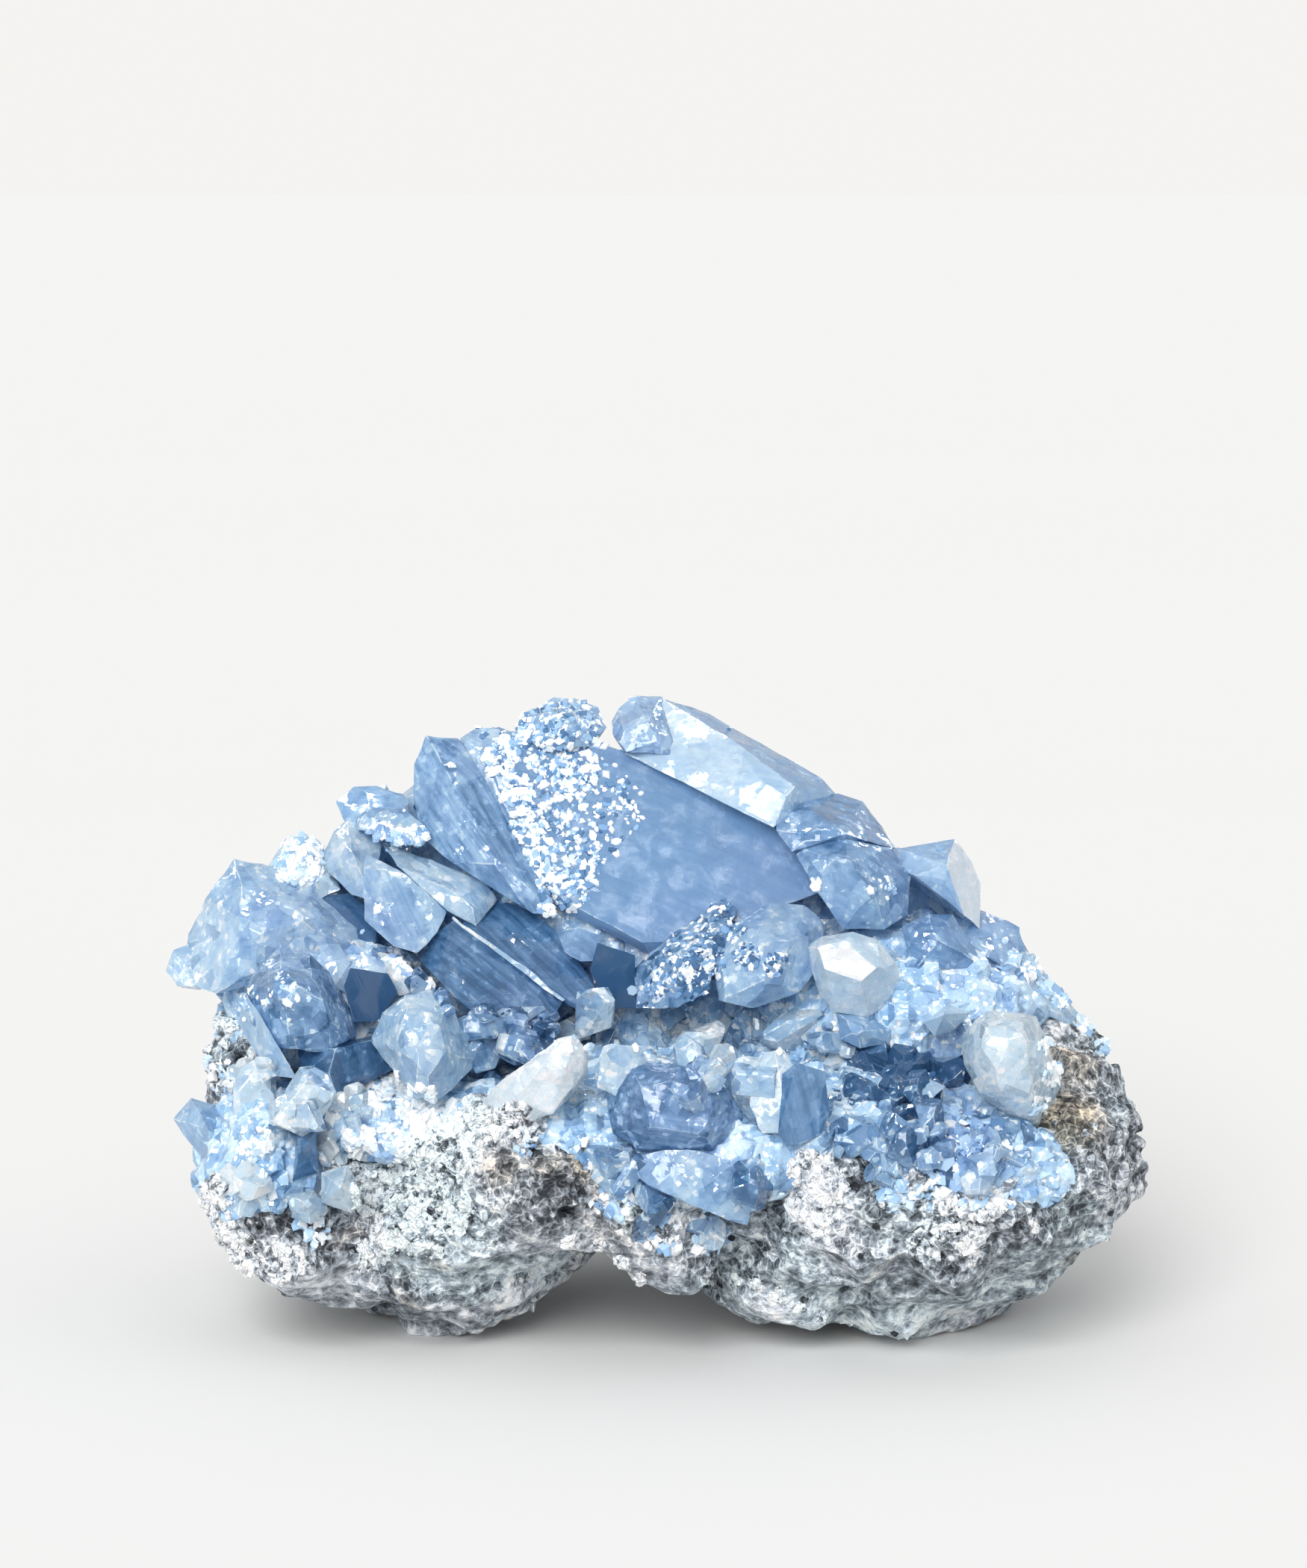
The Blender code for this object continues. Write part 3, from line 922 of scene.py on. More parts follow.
@dataclass(frozen=True)
class CrystalLook:
    """How a crystal's faces look.

    Attributes:
        tone: how pale it is, from 0 for deep blue to 1 for white
        faceting: how much its faces are broken into small chips, from 0 to 1
        streaking: how strong the streaks along its length are, from 0 to 1
        shades: how much its faces differ in tone
        painted_reflection_way: the way that its faces look which get a painted reflection of a lamp
        painted_reflection: how much lighter those faces are painted, as that painted reflection
        wobble: how far its faces and edges depart from flat and straight
    """

    tone: float = 0.4
    faceting: float = 0.4
    streaking: float = 0.25
    shades: float = 0.07
    painted_reflection_way: Triple = (0.0, 0.0, 0.0)
    painted_reflection: float = 0.0
    wobble: float = 0.0


@dataclass(frozen=True)
class SeenCrystal:
    """A crystal whose visible corners are read off the photo. Its hidden side is a smaller copy further back.

    Attributes:
        corners: its corners, each as a pixel across, a pixel down and a depth
        back: how far its hidden side is behind its corners
        taper: the size of its hidden side, as a share of the visible one
        tone: how pale it is, from 0 for deep blue to 1 for white
        chips: how many chips are broken off it
        faceting: how much its faces are broken into small chips, from 0 to 1
        streaking: how strong the streaks along its length are, from 0 to 1
        painted_reflection_way: the way that its faces look which get a painted reflection of a lamp
        painted_reflection: how much lighter those faces are painted, as that painted reflection
    """

    corners: tuple[Triple, ...]
    back: float = 10.0
    taper: float = 0.75
    tone: float = 0.4
    chips: int = 3
    faceting: float = 0.4
    streaking: float = 0.3
    painted_reflection_way: Triple = (0.0, 0.0, 0.0)
    painted_reflection: float = 0.0

    def parts(self, rng: Random) -> Iterator[bmesh.types.BMesh]:
        """Yields the crystal as a closed mesh, in metres.

        Args:
            rng: the source of chips
        """
        front = [SIGHT.place(*corner) for corner in self.corners]
        middle = sum(front, Vector()) / len(front)
        away = Vector((0, 0.95, -0.3))
        bm = bmesh.new()
        for corner in front:
            bm.verts.new(corner)
            bm.verts.new(middle + (corner - middle) * self.taper + away * self.back)
        hull = bmesh.ops.convex_hull(bm, input=bm.verts)
        inside = set(hull["geom_interior"]) | set(hull["geom_unused"])
        bmesh.ops.delete(bm, geom=[g for g in inside if isinstance(g, bmesh.types.BMVert)], context="VERTS")
        bmesh.ops.dissolve_limit(
            bm, angle_limit=SAME_FACE_ANGLE, verts=bm.verts, edges=bm.edges, delimit={"NORMAL"}
        )
        CrystalTrim.chip(bm, self.chips, CHIP_DEPTH, rng)
        wobble = 0.08 + 0.40 * self.faceting
        look = CrystalLook(self.tone, self.faceting, self.streaking, 0.08, self.painted_reflection_way, self.painted_reflection, wobble)
        CrystalTrim.finish(bm, RIM_WIDTH, look, self._own(front), rng)
        bmesh.ops.scale(bm, vec=(MM, MM, MM), verts=bm.verts)
        yield bm

    @staticmethod
    def _own(corners: list[Vector]) -> Matrix:
        """Returns the matrix that turns the crystal's longest way to Z."""
        ends = max(((a, b) for a in corners for b in corners), key=lambda pair: (pair[0] - pair[1]).length)
        return (ends[0] - ends[1]).to_track_quat("Z", "Y").to_matrix().inverted().to_4x4()


@dataclass(frozen=True)
class Crystal:
    """One large crystal, from the root that is hidden in the crust to its tip.

    Attributes:
        tip: where it ends
        root: where it starts
        width: how wide it is
        thickness: how thick it is across its flat face
        roll: how far it is turned about its length, in degrees; at 0 its flat face looks to the front
        habit: its form
        twins: how many smaller crystals have grown side by side with it, all turned alike
        tone: how pale it is, from 0 for deep blue to 1 for white
    """

    tip: Triple
    root: Triple
    width: float
    thickness: float
    roll: float = 0.0
    habit: Habit = Habit.BLOCK
    twins: int = 2
    tone: float = 0.4

    def frame(self) -> Matrix:
        """Returns the matrix that stands the crystal on its root, in metres."""
        tip, root = Vector(self.tip), Vector(self.root)
        up = (tip - root).normalized()
        towards_viewer = Vector((0.0, -1.0, 0.0))
        if abs(up.dot(towards_viewer)) > 0.92:
            towards_viewer = Vector((0.0, -0.2, 1.0))
        face = (towards_viewer - up * towards_viewer.dot(up)).normalized()
        turned = Matrix((face.cross(up), face, up)).transposed().to_4x4()
        place = Matrix.Translation((root + DRAWING_SHIFT) * MM)
        return place @ turned @ Matrix.Rotation(math.radians(self.roll), 4, "Z")

    def length(self) -> float:
        """Returns the distance from root to tip."""
        return (Vector(self.tip) - Vector(self.root)).length

    def parts(self, rng: Random) -> Iterator[bmesh.types.BMesh]:
        """Yields the crystal and the smaller ones beside it, each as a closed mesh in its place.

        Args:
            rng: the source of small differences
        """
        frame = self.frame()
        yield self._cut(self.width, self.thickness, self.length(), rng, frame)
        for _ in range(self.twins):
            width = self.width * rng.uniform(0.35, 0.62)
            thickness = self.thickness * rng.uniform(0.45, 0.8)
            length = self.length() * rng.uniform(0.72, 0.97)
            aside = Matrix.Translation(
                Vector(
                    (
                        (self.width - width) * rng.choice((-0.56, 0.56)) * rng.uniform(0.7, 1.0),
                        -(self.thickness - thickness) * rng.uniform(0.35, 0.58),
                        0.0,
                    )
                )
                * MM
            )
            yield self._cut(width, thickness, length, rng, frame @ aside)

    def _cut(
        self, width: float, thickness: float, length: float, rng: Random, frame: Matrix
    ) -> bmesh.types.BMesh:
        """Cuts one crystal out of a block.

        Args:
            width: the block's size along X
            thickness: its size along Y
            length: its size along Z
            rng: the source of small differences
            frame: where the crystal stands

        Returns:
            A closed mesh in its place, with its own grain coordinates and tone.
        """
        bm = bmesh.new()
        block = Matrix.Translation((0, 0, length / 2)) @ Matrix.Diagonal((width, thickness, length, 1))
        bmesh.ops.create_cube(bm, size=1.0, matrix=block)
        for point, normal in self._planes(width, thickness, length, rng):
            MeshShop.cut_flat(bm, point, normal)
        look = CrystalLook(self.tone + rng.uniform(-0.12, 0.12), 0.35, 0.4, wobble=0.2)
        CrystalTrim.finish(bm, RIM_WIDTH, look, Matrix.Identity(4), rng)
        bmesh.ops.scale(bm, vec=(MM, MM, MM), verts=bm.verts)
        bm.transform(frame)
        return bm

    def _planes(
        self, width: float, thickness: float, length: float, rng: Random
    ) -> Iterator[tuple[Vector, Vector]]:
        """Yields each cutting plane as a point and a normal, in the crystal's own frame.

        A face keeps its angle on every crystal. Only how far it is from the middle differs.

        Args:
            width: the block's size along X
            thickness: its size along Y
            length: its size along Z
            rng: the source of small differences
        """
        shape = HABITS[self.habit]
        middle = Vector((0, 0, length / 2))
        for face in SIDE_FACES:
            normal = Vector(face).normalized()
            reach = abs(normal.x) * width / 2
            if self.habit is not Habit.POINT:
                reach += abs(normal.y) * thickness / 2
            yield middle + normal * reach * (shape.reach + rng.uniform(-0.06, 0.08)), normal
        apex = Vector((0, 0, length + shape.lift * width))
        for face in CHISEL_FACES:
            yield apex - Vector((0, 0, rng.uniform(0, 0.16) * width)), Vector(face).normalized()
        if shape.shoulders:
            for face in SHOULDER_FACES:
                yield apex - Vector((0, 0, rng.uniform(-0.04, 0.18) * thickness)), Vector(face).normalized()
        if shape.corners:
            for face in CORNER_FACES:
                yield apex - Vector((0, 0, rng.uniform(0.0, 0.12) * width)), Vector(face).normalized()
        for _ in range(shape.chips):
            normal = Vector((rng.gauss(0, 0.6), rng.gauss(0, 0.6), rng.uniform(0.2, 1.0))).normalized()
            support = abs(normal.x) * width / 2 + abs(normal.y) * thickness / 2 + normal.z * length / 2
            yield middle + normal * support * rng.uniform(0.80, 0.90), normal


CRYSTALS: list[Crystal] = [
    Crystal((-45, 18, 67), (-37, 9, 50), 12, 11, 20, Habit.BLOCK),
    Crystal((-33, 21, 75), (-27, 10, 56), 15, 9, 65, Habit.BLADE),
    Crystal((-19, 21, 80), (-14, 9, 60), 14, 12, 10, Habit.BLOCK),
    Crystal((-3, 28, 77), (-7, 12, 57), 18, 14, -20, Habit.BLOCK),
    Crystal((12, 22, 78), (7, 9, 60), 13, 11, 35, Habit.BLOCK),
    Crystal((25, 26, 70), (17, 12, 53), 17, 13, 30, Habit.DOME),
    Crystal((39, 18, 63), (31, 7, 49), 13, 12, 5, Habit.BLOCK),
    Crystal((-57, 16, 53), (-48, 9, 42), 8, 8, 40, Habit.POINT),
    Crystal((-44, 29, 60), (-36, 16, 46), 14, 11, 15, Habit.BLOCK),
    Crystal((-29, 34, 66), (-24, 20, 50), 11, 10, 35, Habit.BLOCK),
    Crystal((-15, 36, 69), (-13, 20, 52), 17, 11, 60, Habit.BLADE),
    Crystal((8, 36, 69), (5, 20, 53), 14, 13, 25, Habit.BLOCK),
    Crystal((21, 35, 63), (16, 22, 50), 10, 9, 10, Habit.POINT),
    Crystal((36, 28, 60), (28, 15, 46), 15, 12, 50, Habit.BLOCK),
    Crystal((52, 16, 53), (43, 8, 42), 12, 11, 20, Habit.BLOCK),
]


SEEN_CRYSTALS: list[SeenCrystal] = [
    # The great face in the middle of the ridge, with the bevelled edge below it
    SeenCrystal(
        (
            (650, 1000, 5), (700, 975, 6.4), (770, 985, 5.8), (837, 1006, 4.6), (906, 1048, 2.2),
            (976, 1085, 0.1), (1036, 1108, -1.1), (1070, 1140, -2.9), (1098, 1196, -6),
            (1012, 1225, -7.5), (890, 1262, -9.5), (862, 1262, -9.5), (800, 1228, -7.6),
            (755, 1206, -6.4), (728, 1182, -5.1), (705, 1145, -3.1), (677, 1080, 0.5), (871, 1279, -8),
            (800, 1242, -6), (750, 1219, -5), (718, 1190, -3), (697, 1158, -1), (650, 1043, 3.5),
        ),
        back=15, taper=0.8, tone=0.35, chips=0, faceting=0.03, streaking=0.12,
    ),
    # The striped blade left of it, and the crystals behind the two
    SeenCrystal(
        (
            (556, 1022, 8), (570, 985, 10), (613, 987, 9), (646, 1038, 4), (677, 1096, 0),
            (714, 1183, -5), (749, 1228, -8), (714, 1224, -8), (665, 1191, -6), (603, 1154, -2),
            (566, 1121, 2), (553, 1071, 5), (611, 1055, 0), (669, 1158, -7),
        ),
        back=11, tone=0.34, chips=3, faceting=0.25, streaking=0.7,
    ),
    SeenCrystal(
        ((615, 989, 9), (636, 976, 11), (669, 974, 12), (696, 981, 10), (690, 1030, 4), (652, 1055, 3)),
        back=9, tone=0.58, chips=3, faceting=0.8,
    ),
    SeenCrystal(
        (
            (690, 985, 6), (700, 955, 9), (735, 935, 12), (770, 934, 12), (800, 948, 11), (812, 975, 8),
            (790, 1000, 4), (730, 1005, 3), (750, 965, 3),
        ),
        back=10, tone=0.5, chips=6, faceting=0.7,
    ),
    # The knob and the long ridged prism right of the top
    SeenCrystal(
        (
            (818, 960, 8), (830, 946, 10), (851, 932, 12), (886, 933, 12), (899, 965, 9), (913, 1013, 3),
            (888, 992, 2), (837, 1006, 2), (818, 983, 4), (865, 969, 3),
        ),
        back=11, tone=0.48, chips=5, faceting=0.5,
    ),
    # Its faces that look up and to the front are painted lighter: a painted reflection of a lamp
    SeenCrystal(
        (
            (890, 936, 11), (948, 955, 12), (1031, 999, 10), (1096, 1039, 7), (1119, 1062, 5),
            (939, 965, 8), (976, 988, 3), (1008, 1016, 1), (1064, 1053, -2), (837, 1009, 4),
            (906, 1050, 0), (976, 1085, -3), (1036, 1109, -6), (1041, 1078, -5),
        ),
        back=11, tone=0.48, chips=1, faceting=0.25, painted_reflection_way=(-0.16, -0.63, 0.76), painted_reflection=0.28,
    ),
    # Down the right side of the ridge
    SeenCrystal(
        (
            (1040, 1085, -2), (1059, 1062, 3), (1087, 1060, 5), (1124, 1063, 6), (1154, 1072, 6),
            (1179, 1104, 4), (1200, 1136, 0), (1161, 1127, -5), (1119, 1122, -7), (1096, 1115, -8),
            (1059, 1140, -8), (1040, 1113, -6), (1087, 1085, -4), (1133, 1117, -8),
        ),
        back=12, tone=0.30, chips=1, faceting=0.3,
    ),
    SeenCrystal(
        (
            (1064, 1143, -8), (1096, 1127, -7), (1133, 1124, -7), (1193, 1136, -4), (1219, 1173, -4),
            (1216, 1224, -6), (1184, 1245, -9), (1128, 1243, -11), (1101, 1205, -12), (1133, 1159, -13),
            (1170, 1196, -13),
        ),
        back=11, tone=0.37, chips=5, faceting=0.4,
    ),
    # Its faces that look right and to the front are painted lighter: a painted reflection of a lamp
    SeenCrystal(
        (
            (1202, 1137, 0), (1237, 1131, 2), (1279, 1122, 3), (1302, 1154, 2), (1312, 1184, 1),
            (1312, 1245, -2), (1290, 1224, -5), (1263, 1178, -6), (1267, 1159, -6), (1226, 1173, -5),
            (1207, 1164, -3),
        ),
        back=10, tone=0.5, chips=1, faceting=0.3, painted_reflection_way=(0.78, -0.56, 0.26), painted_reflection=0.45,
    ),
    SeenCrystal(
        (
            (1290, 1252, -3), (1313, 1219, 2), (1364, 1243, 2), (1371, 1270, 1), (1380, 1293, 0),
            (1355, 1302, -4), (1323, 1284, -6), (1300, 1265, -6),
        ),
        back=9, tone=0.45, chips=3, faceting=0.6,
    ),
    SeenCrystal(
        (
            (1207, 1242, -8), (1244, 1224, -7), (1276, 1224, -6), (1290, 1256, -7), (1318, 1293, -8),
            (1263, 1298, -11), (1221, 1293, -12), (1250, 1255, -13),
        ),
        back=10, tone=0.27, chips=2, faceting=0.3,
    ),
    SeenCrystal(
        (
            (1205, 1310, -10), (1262, 1296, -8), (1318, 1300, -6), (1385, 1335, -5), (1340, 1352, -10),
            (1270, 1345, -13), (1215, 1338, -14),
        ),
        back=9, tone=0.28, chips=3, faceting=0.4,
    ),
    SeenCrystal(
        (
            (1330, 1300, -1), (1372, 1288, 0), (1420, 1325, 0), (1462, 1368, 0), (1430, 1372, -5),
            (1370, 1345, -6),
        ),
        back=8, tone=0.6, chips=4, faceting=0.8,
    ),
    # The left slope: plate, sparkling crystal below it, and the long blades
    SeenCrystal(
        (
            (448, 1069, 6), (465, 1054, 8), (504, 1052, 9), (537, 1063, 8), (552, 1073, 6),
            (529, 1092, 4), (488, 1096, 3), (471, 1115, 2), (459, 1096, 4),
        ),
        back=4, tone=0.44, chips=4, faceting=0.3,
    ),
    SeenCrystal(
        (
            (473, 1096, 4), (496, 1080, 3), (545, 1084, 2), (572, 1111, 0), (570, 1129, -2),
            (535, 1131, -3), (504, 1115, -2), (477, 1109, 0),
        ),
        back=8, tone=0.5, chips=4, faceting=1.0,
    ),
    SeenCrystal(
        (
            (432, 1142, 2), (446, 1113, 3), (465, 1096, 4), (496, 1111, 3), (510, 1133, 1),
            (504, 1175, -4), (500, 1208, -6), (471, 1199, -5), (438, 1166, -2), (471, 1142, -5),
        ),
        back=10, tone=0.62, chips=4, faceting=0.5,
    ),
    SeenCrystal(
        (
            (488, 1139, -3), (529, 1162, -5), (568, 1191, -7), (597, 1222, -7), (587, 1249, -10),
            (558, 1276, -13), (525, 1267, -13), (488, 1232, -11), (500, 1203, -8),
        ),
        back=12, tone=0.50, chips=2, faceting=0.35, streaking=0.5,
    ),
    SeenCrystal(
        (
            (508, 1125, 2), (545, 1137, 2), (603, 1158, 0), (646, 1179, -2), (667, 1203, -4),
            (638, 1241, -7), (599, 1222, -7), (566, 1189, -6), (529, 1158, -4), (630, 1205, -7),
        ),
        back=10, tone=0.62, chips=2, faceting=0.4, streaking=0.6,
    ),
    SeenCrystal(
        (
            (360, 1158, 2), (380, 1125, 3), (405, 1119, 4), (426, 1125, 4), (444, 1158, 2),
            (455, 1191, -2), (409, 1216, -4), (384, 1191, -3), (413, 1158, -4),
        ),
        back=9, tone=0.7, chips=6, faceting=1.0,
    ),
    SeenCrystal(
        (
            (314, 1150, -2), (277, 1203, -4), (252, 1249, -2), (248, 1315, -6), (290, 1331, -12),
            (335, 1302, -14), (376, 1278, -12), (434, 1257, -8), (487, 1278, -6), (483, 1245, -4),
            (426, 1195, -2), (376, 1166, -1), (351, 1158, 0), (331, 1232, -14), (384, 1224, -12),
        ),
        back=12, tone=0.56, chips=5, faceting=0.6,
    ),
    SeenCrystal(
        (
            (221, 1300, -5), (232, 1272, -5), (262, 1262, -3), (300, 1290, -4), (262, 1322, -8),
            (236, 1320, -8),
        ),
        back=9, tone=0.62, chips=3, faceting=0.5,
    ),
    # The recesses, each a deep flat face painted dark as the shade in it, and the lighter crystals beside
    # them
    SeenCrystal(
        (
            (420, 1200, -3), (470, 1196, -1), (508, 1230, -3), (500, 1280, -6), (450, 1275, -7),
            (425, 1240, -5),
        ),
        back=6, tone=-0.05, chips=1, faceting=0.1,
    ),
    SeenCrystal(
        (
            (460, 1321, -21), (468, 1296, -22), (519, 1304, -22), (533, 1328, -21), (504, 1369, -19.6),
            (474, 1369, -19.6),
        ),
        back=10, tone=-0.1, chips=0, faceting=0.0,
    ),
    SeenCrystal(
        ((467, 1298, -19.5), (484, 1274, -17), (513, 1289, -17.5), (521, 1306, -19.5), (498, 1304, -20)),
        back=6, tone=0.6, chips=1, faceting=0.3,
    ),
    SeenCrystal(
        (
            (433, 1303, -14), (425, 1265, -9), (455, 1262, -9), (470, 1290, -12), (460, 1328, -16),
            (448, 1322, -17),
        ),
        back=6, tone=0.65, chips=2, faceting=0.3,
    ),
    SeenCrystal(
        (
            (502, 1264, -12), (530, 1284, -14), (584, 1318, -18), (560, 1328, -20), (536, 1333, -19),
            (520, 1305, -17),
        ),
        back=6, tone=0.9, chips=4, faceting=1.0,
    ),
    # The two long blades that run down into the hollow
    SeenCrystal(
        (
            (562, 1285, -10), (585, 1248, -8), (606, 1232, -8), (680, 1283, -11), (756, 1342, -14),
            (742, 1362, -17), (690, 1362, -18), (640, 1364, -19), (598, 1325, -16),
        ),
        back=12, tone=0.14, chips=1, faceting=0.2, streaking=0.65,
    ),
    SeenCrystal(
        (
            (618, 1240, -7), (640, 1212, -3), (680, 1208, -2), (720, 1225, -4), (752, 1256, -7),
            (790, 1310, -11), (815, 1356, -14), (800, 1365, -16), (762, 1346, -14), (690, 1290, -11),
        ),
        back=12, tone=0.11, chips=1, faceting=0.2, streaking=0.65,
    ),
    SeenCrystal(
        (
            (747, 1250, -9), (775, 1242, -9), (806, 1254, -9), (801, 1287, -11), (777, 1288, -12),
            (756, 1274, -12),
        ),
        back=5, tone=0.36, chips=1, faceting=0.2,
    ),
    # A deep flat face painted dark, as the shade in the gap beside the blades
    SeenCrystal(
        (
            (800, 1262, -13), (850, 1278, -13.6), (852, 1350, -11.4), (815, 1352, -11.4),
            (790, 1300, -12.2),
        ),
        back=8, tone=-0.1, chips=0, faceting=0.0,
    ),
    # The big rounded crystals on the left of the hollow
    SeenCrystal(
        (
            (322, 1330, -22), (351, 1290, -22), (376, 1277, -22), (413, 1277, -22), (445, 1305, -20),
            (470, 1350, -19), (478, 1395, -20), (445, 1412, -26), (400, 1405, -29), (362, 1400, -28),
            (335, 1370, -26), (375, 1310, -31), (420, 1320, -30), (440, 1365, -29), (395, 1380, -32),
            (355, 1345, -29),
        ),
        back=12, tone=0.32, chips=14, faceting=0.6,
    ),
    SeenCrystal(
        ((328, 1325, -25), (352, 1365, -29), (398, 1445, -30), (362, 1440, -28), (318, 1370, -23)),
        back=8, tone=0.5, chips=1, faceting=0.3,
    ),
    SeenCrystal(
        (
            (395, 1404, -24), (486, 1400, -22), (524, 1385, -18), (530, 1430, -20), (470, 1462, -25),
            (430, 1468, -27), (405, 1440, -27), (450, 1405, -27),
        ),
        back=10, tone=0.05, chips=3, faceting=0.3,
    ),
    SeenCrystal(
        (
            (495, 1393, -27), (512, 1356, -28), (542, 1332, -28), (577, 1326, -28), (607, 1352, -28),
            (622, 1386, -27), (639, 1425, -27), (611, 1451, -31), (585, 1473, -33), (555, 1470, -33),
            (533, 1442, -32), (527, 1416, -31), (546, 1365, -36), (585, 1365, -35), (598, 1408, -35),
            (568, 1438, -37), (542, 1404, -36),
        ),
        back=13, tone=0.60, chips=10, faceting=0.5,
    ),
    SeenCrystal(
        (
            (617, 1378, -24), (641, 1371, -25), (663, 1386, -25), (674, 1406, -24), (663, 1429, -26),
            (637, 1438, -28), (624, 1412, -28),
        ),
        back=9, tone=0.35, chips=4, faceting=0.4,
    ),
    # The mound of glittering crystals in the middle
    SeenCrystal(
        (
            (850, 1293, -12), (893, 1258, -10), (930, 1230, -8), (967, 1203, -6), (985, 1215, -8),
            (975, 1260, -14), (945, 1330, -18), (900, 1352, -17), (853, 1350, -15), (920, 1280, -18),
        ),
        back=10, tone=0.26, chips=6, faceting=1.0,
    ),
    SeenCrystal(
        (
            (965, 1270, -14), (985, 1236, -12), (1031, 1208, -10), (1078, 1212, -9), (1104, 1235, -10),
            (1098, 1290, -14), (1070, 1330, -18), (1010, 1350, -20), (960, 1340, -19), (955, 1300, -17),
            (1010, 1260, -20), (1060, 1260, -18), (1030, 1310, -22),
        ),
        back=12, tone=0.50, chips=8, faceting=0.35,
    ),
    # Its faces that look to the front are painted lighter: a painted reflection of a lamp
    SeenCrystal(
        (
            (1077, 1270, -14), (1101, 1254, -15), (1142, 1248, -15), (1175, 1258, -15), (1198, 1288, -15),
            (1205, 1309, -14), (1186, 1346, -16), (1161, 1362, -17), (1119, 1356, -18), (1096, 1330, -18),
            (1096, 1270, -19), (1133, 1263, -19), (1179, 1302, -20), (1156, 1316, -21), (1105, 1298, -21),
        ),
        back=12, tone=0.88, chips=2, faceting=0.25, painted_reflection_way=(0.0, -0.95, 0.3), painted_reflection=0.5,
    ),
    SeenCrystal(
        (
            (1119, 1356, -17), (1165, 1362, -17), (1193, 1379, -17), (1189, 1397, -18), (1152, 1404, -20),
            (1124, 1390, -19), (1150, 1380, -22),
        ),
        back=9, tone=0.45, chips=4, faceting=0.4,
    ),
    # The right end of the hollow
    SeenCrystal(
        (
            (1236, 1369, -21), (1270, 1344, -20), (1300, 1356, -20), (1280, 1377, -22), (1251, 1388, -23),
            (1263, 1361, -26),
        ),
        back=6, tone=0.68, chips=0, faceting=0.1,
    ),
    SeenCrystal(
        (
            (1288, 1399, -30), (1296, 1373, -31), (1322, 1355, -31), (1360, 1354, -31), (1387, 1361, -31),
            (1401, 1389, -30), (1413, 1423, -28), (1422, 1456, -26), (1394, 1484, -30), (1387, 1513, -30),
            (1351, 1494, -33), (1313, 1465, -33), (1292, 1427, -32), (1318, 1380, -38), (1360, 1375, -39),
            (1384, 1408, -38), (1375, 1451, -38), (1332, 1442, -39), (1313, 1413, -38),
        ),
        back=14, tone=0.86, chips=12, faceting=0.6,
    ),
    # A face painted very dark, as the shade in the cavity at the hollow's right end
    SeenCrystal(
        (
            (1150, 1430, -18), (1200, 1425, -20), (1262, 1440, -22), (1262, 1480, -26), (1200, 1512, -28),
            (1152, 1500, -24),
        ),
        back=8, tone=-0.35, chips=1, faceting=0.25,
    ),
    SeenCrystal(
        ((1211, 1450, -26), (1235, 1440, -28), (1266, 1455, -28), (1250, 1470, -30), (1220, 1474, -30)),
        back=6, tone=0.5, chips=1, faceting=0.2,
    ),
    SeenCrystal(
        (
            (1160, 1545, -40), (1200, 1505, -37), (1240, 1485, -34), (1300, 1500, -34), (1360, 1520, -34),
            (1385, 1500, -32), (1395, 1540, -34), (1360, 1580, -38), (1290, 1595, -42), (1220, 1580, -43),
            (1170, 1570, -42), (1250, 1530, -43), (1320, 1545, -42),
        ),
        back=10, tone=0.24, chips=12, faceting=1.0,
    ),
    # The front lip, from left to right
    SeenCrystal(
        (
            (231, 1498, -19), (257, 1470, -20), (290, 1480, -22), (306, 1506, -24), (318, 1560, -26),
            (290, 1572, -26), (262, 1542, -24), (278, 1512, -29),
        ),
        back=10, tone=0.5, chips=1, faceting=0.35,
    ),
    SeenCrystal(
        (
            (358, 1480, -33), (378, 1464, -34), (400, 1466, -34), (414, 1482, -33), (408, 1506, -34),
            (380, 1510, -35), (360, 1500, -34), (386, 1484, -40),
        ),
        back=8, tone=0.75, chips=5, faceting=0.5,
    ),
    SeenCrystal(
        (
            (318, 1512, -28), (350, 1500, -30), (386, 1515, -32), (392, 1560, -33), (372, 1588, -33),
            (334, 1575, -31), (316, 1545, -29), (350, 1540, -37),
        ),
        back=9, tone=0.7, chips=4, faceting=0.7,
    ),
    SeenCrystal(
        ((398, 1516, -33), (424, 1514, -33), (426, 1570, -34), (392, 1582, -35), (402, 1540, -37)),
        back=8, tone=0.15, chips=1, faceting=0.2,
    ),
    SeenCrystal(
        (
            (430, 1570, -36), (465, 1560, -36), (488, 1600, -36), (470, 1625, -37), (430, 1612, -38),
            (455, 1590, -41),
        ),
        back=8, tone=0.8, chips=2, faceting=0.5,
    ),
    SeenCrystal(
        (
            (384, 1600, -36), (420, 1592, -37), (440, 1618, -37), (415, 1640, -38), (388, 1630, -37),
            (410, 1612, -41),
        ),
        back=8, tone=0.7, chips=3, faceting=0.5,
    ),
    SeenCrystal(
        (
            (274, 1610, -24), (300, 1598, -26), (320, 1615, -28), (312, 1640, -28), (284, 1645, -26),
            (298, 1618, -31),
        ),
        back=8, tone=0.5, chips=3, faceting=0.5,
    ),
    SeenCrystal(
        (
            (624, 1503, -34), (667, 1451, -37), (719, 1412, -39), (747, 1391, -40), (771, 1386, -40),
            (790, 1406, -39), (788, 1438, -38), (771, 1464, -40), (740, 1490, -40), (697, 1507, -38),
            (650, 1511, -36), (732, 1412, -41.5), (758, 1429, -42), (706, 1460, -41.2),
        ),
        back=12, tone=1.05, chips=6, faceting=0.6,
    ),
    SeenCrystal(
        (
            (794, 1421, -38), (805, 1404, -39), (827, 1396, -40), (857, 1404, -39), (874, 1425, -38),
